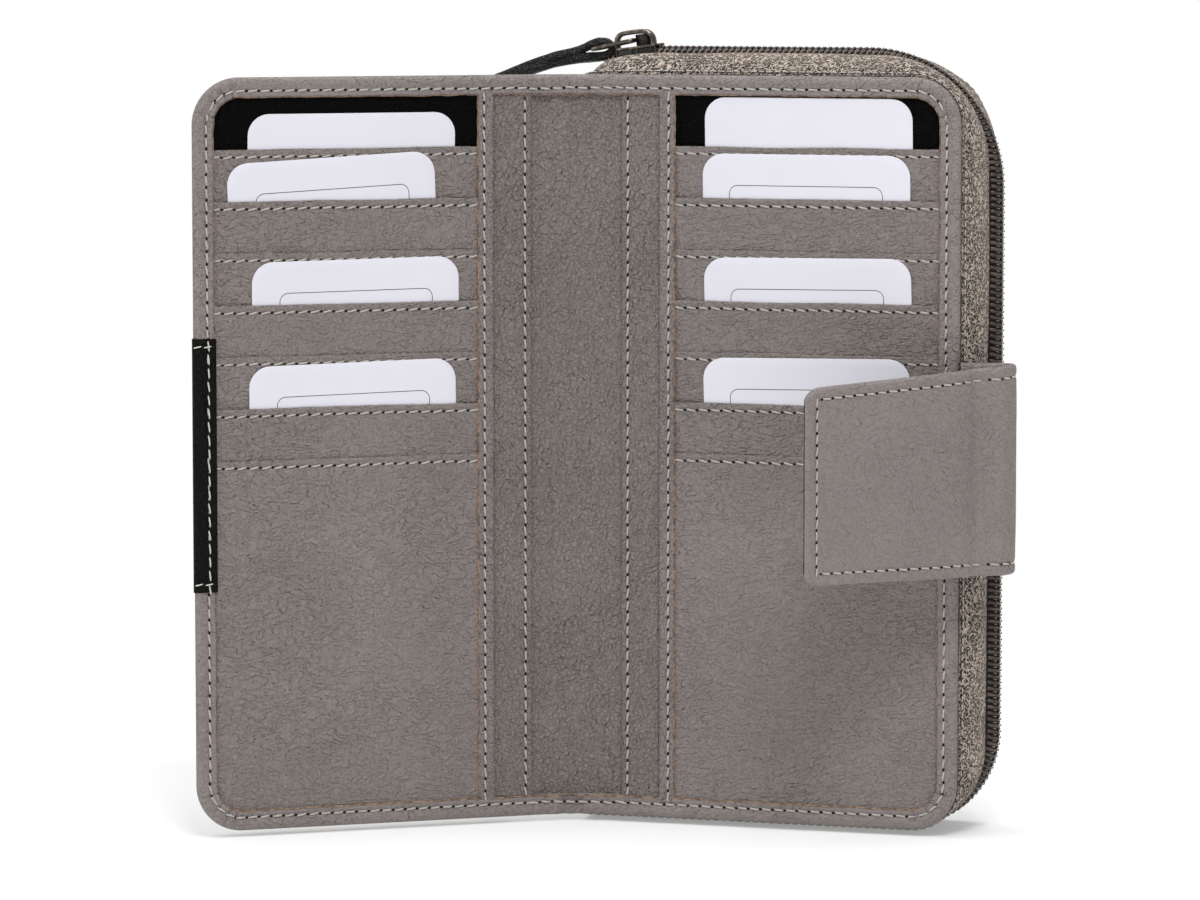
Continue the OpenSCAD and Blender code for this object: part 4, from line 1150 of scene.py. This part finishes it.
split = run[int(np.argmin(np.hypot(line[:, 0] - 106.4, line[:, 1] + 3.9)))]
across_fold(sheet("tab_fold_leather", tab_grid(np.linspace(0, split, 60)), right, "tab", None, ["tab_base"], wrap=True))
end = total - 4 * (1 - np.sin(np.linspace(0.05, 1, 14) * math.pi / 2))
across_tip(sheet("tab_flap_leather", tab_grid(np.r_[np.linspace(split, total - 4.2, 70), end]), right, "tab", None,
                 ["tab_middle", "tab_tip"], wrap=True))


def tab_stitches(target, s0, s1, high, step=1.0):
    """A seam along the tab's low or high edge."""
    path, normals = [], []
    for s in np.arange(s0, s1, step):
        n = tab_normal(s)
        low_z, high_z = tab_edges(min(s, total - 4))
        path.append((*tab_point(s) - n * 0.8, high_z - 3 if high else low_z + 3))
        normals.append((*-n, 0))
    path = np.array(path)
    target.run(path, nearest(path, np.array(normals), 2.9), right, pitch=3.0, r=0.23, seed=101)


for high in (False, True):
    tab_stitches(THREAD["tab_fold"], bend_at + 1.2, split - 0.8, high, 0.3)
    tab_stitches(THREAD["tab_flap"], split + 0.6, total - 2.6, high)
low_z, high_z = tab_edges(total - 4)
seam = tab_point(total - 3) + TAB_N * 0.8
THREAD["tab_flap"].run([(*seam, low_z + 3), (*seam, high_z - 3)], (*TAB_N, 0), right, pitch=3.0, r=0.23, seed=103)

# ---- patch and press stud


def patch():
    """Black leather round the left cover's outer edge: stitched on the inside, plain on the outside."""
    prof = [(5.7, 0.62), (5.62, 0.5), (5.2, 0.44), (4.4, 0.46), (3.9, 0.62), (3.7, 0.72), (3.5, 0.62), (3.0, 0.42),
            (2.2, 0.28), (1.4, 0.26), (0.6, 0.36), (0.1, 0.6), (-0.2, 1.0), (-0.3, 1.6), (-0.2, 2.2), (0.1, 2.65),
            (0.8, 3.0), (1.7, 3.55), (2.3, 4.2), (3.1, 5.05), (4.2, 5.95), (5.6, 6.95), (7.4, 7.75), (9.4, 8.3),
            (12, 8.6), (17, 8.7), (26, 8.75), (38, 8.76), (47, 8.76), (51.4, 8.74), (51.9, 8.6), (52, 8.45)]
    z = np.r_[60.95, 61.0, 61.3, np.linspace(62, 123.8, 60), 124.5, 124.8, 124.85]
    rows = []
    for k, zz in enumerate(z):
        sink = {0: 0.25, 1: 0.08}.get(min(k, len(z) - 1 - k), 0.0)
        rows.append([(WIDE - d, v + (sink if v < 1 else -sink if v > 3 else 0)
                      + 0.03 * float(noise(zz / 2, d / 2, 7)), zz) for d, v in prof])
    sheet("patch_leather_black", rows, left, "black", "front_half", ["front_patch"])
    seams = [([(96.3, 0.7, q) for q in np.linspace(61.4, 124.4, 40)], INWARD, 3.4, 0.21, 111)]
    for q in (63.0, 122.8):
        seams += [([(99.6, 0.34, q), (94.5, 0.45, q)], INWARD, 2.6, 0.18, 113),
                  ([(97.0, 5.2, q), (88.5, 8.72, q)], (0.4, 0.9, 0), 3.2, 0.18, 114),
                  ([(88.5, 8.76, q), (50, 8.78, q)], OUTWARD, 3.2, 0.18, 115)]
    seams.append(([(50.2, 8.78, 63.0), (50.2, 8.78, 122.8)], OUTWARD, 3.2, 0.18, 116))
    for path, normal, pitch, r, seed in seams:
        THREAD["patch"].run(path, normal, left, pitch=pitch, r=r, seed=seed)


patch()
THREAD["patch"].make("patch", "front_half", "pale_thread")
for name in ("front_half", "back_half", "rear_shell"):
    THREAD[name].make(name, name)
for name, across in (("spine", across_spine), ("tab_fold", across_fold), ("tab_flap", across_tip)):
    for o in THREAD[name].make(name, None):
        across(o)
for node in ("front_snap_stud", "tab_snap_socket"):
    o = frame["nodes"][node]
    o.data.materials.clear()
    o.data.materials.append(M["gunmetal"])

# ---- stage, lights, camera


def stage():
    """A plain pale floor that turns to even white away from the object, as the backdrop does."""
    mesh = bpy.data.meshes.new("floor")
    mesh.from_pydata([(-3, -3, 0), (3, -3, 0), (3, 3, 0), (-3, 3, 0)], [], [(0, 1, 2, 3)])
    m = Nodes("floor", rough=0.7, specular=0.1)
    m.bsdf.inputs["Base Color"].default_value = (0.97, 0.97, 0.97, 1)
    far = m.node("VectorMath")
    far.operation = "LENGTH"
    m.link(m.node("TexCoord").outputs["Object"], far.inputs[0])
    away = m.node("MapRange", Value=far.outputs["Value"], From_Min=0.17, From_Max=0.4, To_Min=0.3)
    away.interpolation_type = "SMOOTHSTEP"
    seen = m.node("LightPath").outputs["Is Camera Ray"]
    mix = m.node("MixShader", Fac=m.times(away.outputs[0], seen))
    m.link(m.bsdf.outputs[0], mix.inputs[1])
    m.link(m.node("Emission").outputs[0], mix.inputs[2])
    m.link(mix.outputs[0], m.tree.nodes["Material Output"].inputs["Surface"])
    mesh.materials.append(m.mat)
    add("floor", mesh)


def world():
    """White to the camera, and a softer light on the object."""
    w = bpy.data.worlds.new("studio")
    bpy.context.scene.world = w
    w.use_nodes = True
    nodes, link = w.node_tree.nodes, w.node_tree.links.new
    mix = nodes.new("ShaderNodeMixShader")
    link(nodes.new("ShaderNodeLightPath").outputs["Is Camera Ray"], mix.inputs[0])
    for k, strength, node in ((1, 0.42, nodes["Background"]), (2, 1.0, nodes.new("ShaderNodeBackground"))):
        node.inputs["Color"].default_value = (1, 1, 1, 1)
        node.inputs["Strength"].default_value = strength
        link(node.outputs[0], mix.inputs[k])
    link(mix.outputs[0], nodes["World Output"].inputs["Surface"])


def lamp(name, at, size, power):
    """A flat lamp that faces the object's middle."""
    d = bpy.data.lights.new(name, "AREA")
    d.shape = "RECTANGLE"
    d.size, d.size_y = size
    d.energy = power
    o = add(name, d)
    o.location = at
    o.rotation_euler = (Vector((0, 0, 0.1)) - Vector(at)).to_track_quat("-Z", "Y").to_euler()


stage()
world()
lamp("key", (0.42, -0.75, 1.3), (0.4, 0.4), 10.5)
lamp("fill", (-0.95, -0.8, 0.6), (0.9, 0.9), 4.0)
lamp("top", (0.0, 0.1, 1.3), (1.0, 0.8), 10)

yaw, pitch = math.radians(17.079), math.radians(5.692)
look = Vector((-math.sin(yaw) * math.cos(pitch), math.cos(yaw) * math.cos(pitch), -math.sin(pitch)))
cam = bpy.data.cameras.new("camera")
cam.lens, cam.sensor_width = 166.79, 36
cam.clip_start, cam.clip_end = 0.05, 20
camera = add("camera", cam)
camera.location = (0.40703, -1.33563, 0.23663)
camera.rotation_euler = look.to_track_quat("-Z", "Y").to_euler()
bpy.context.scene.camera = camera
bpy.context.scene.view_settings.view_transform = "Standard"
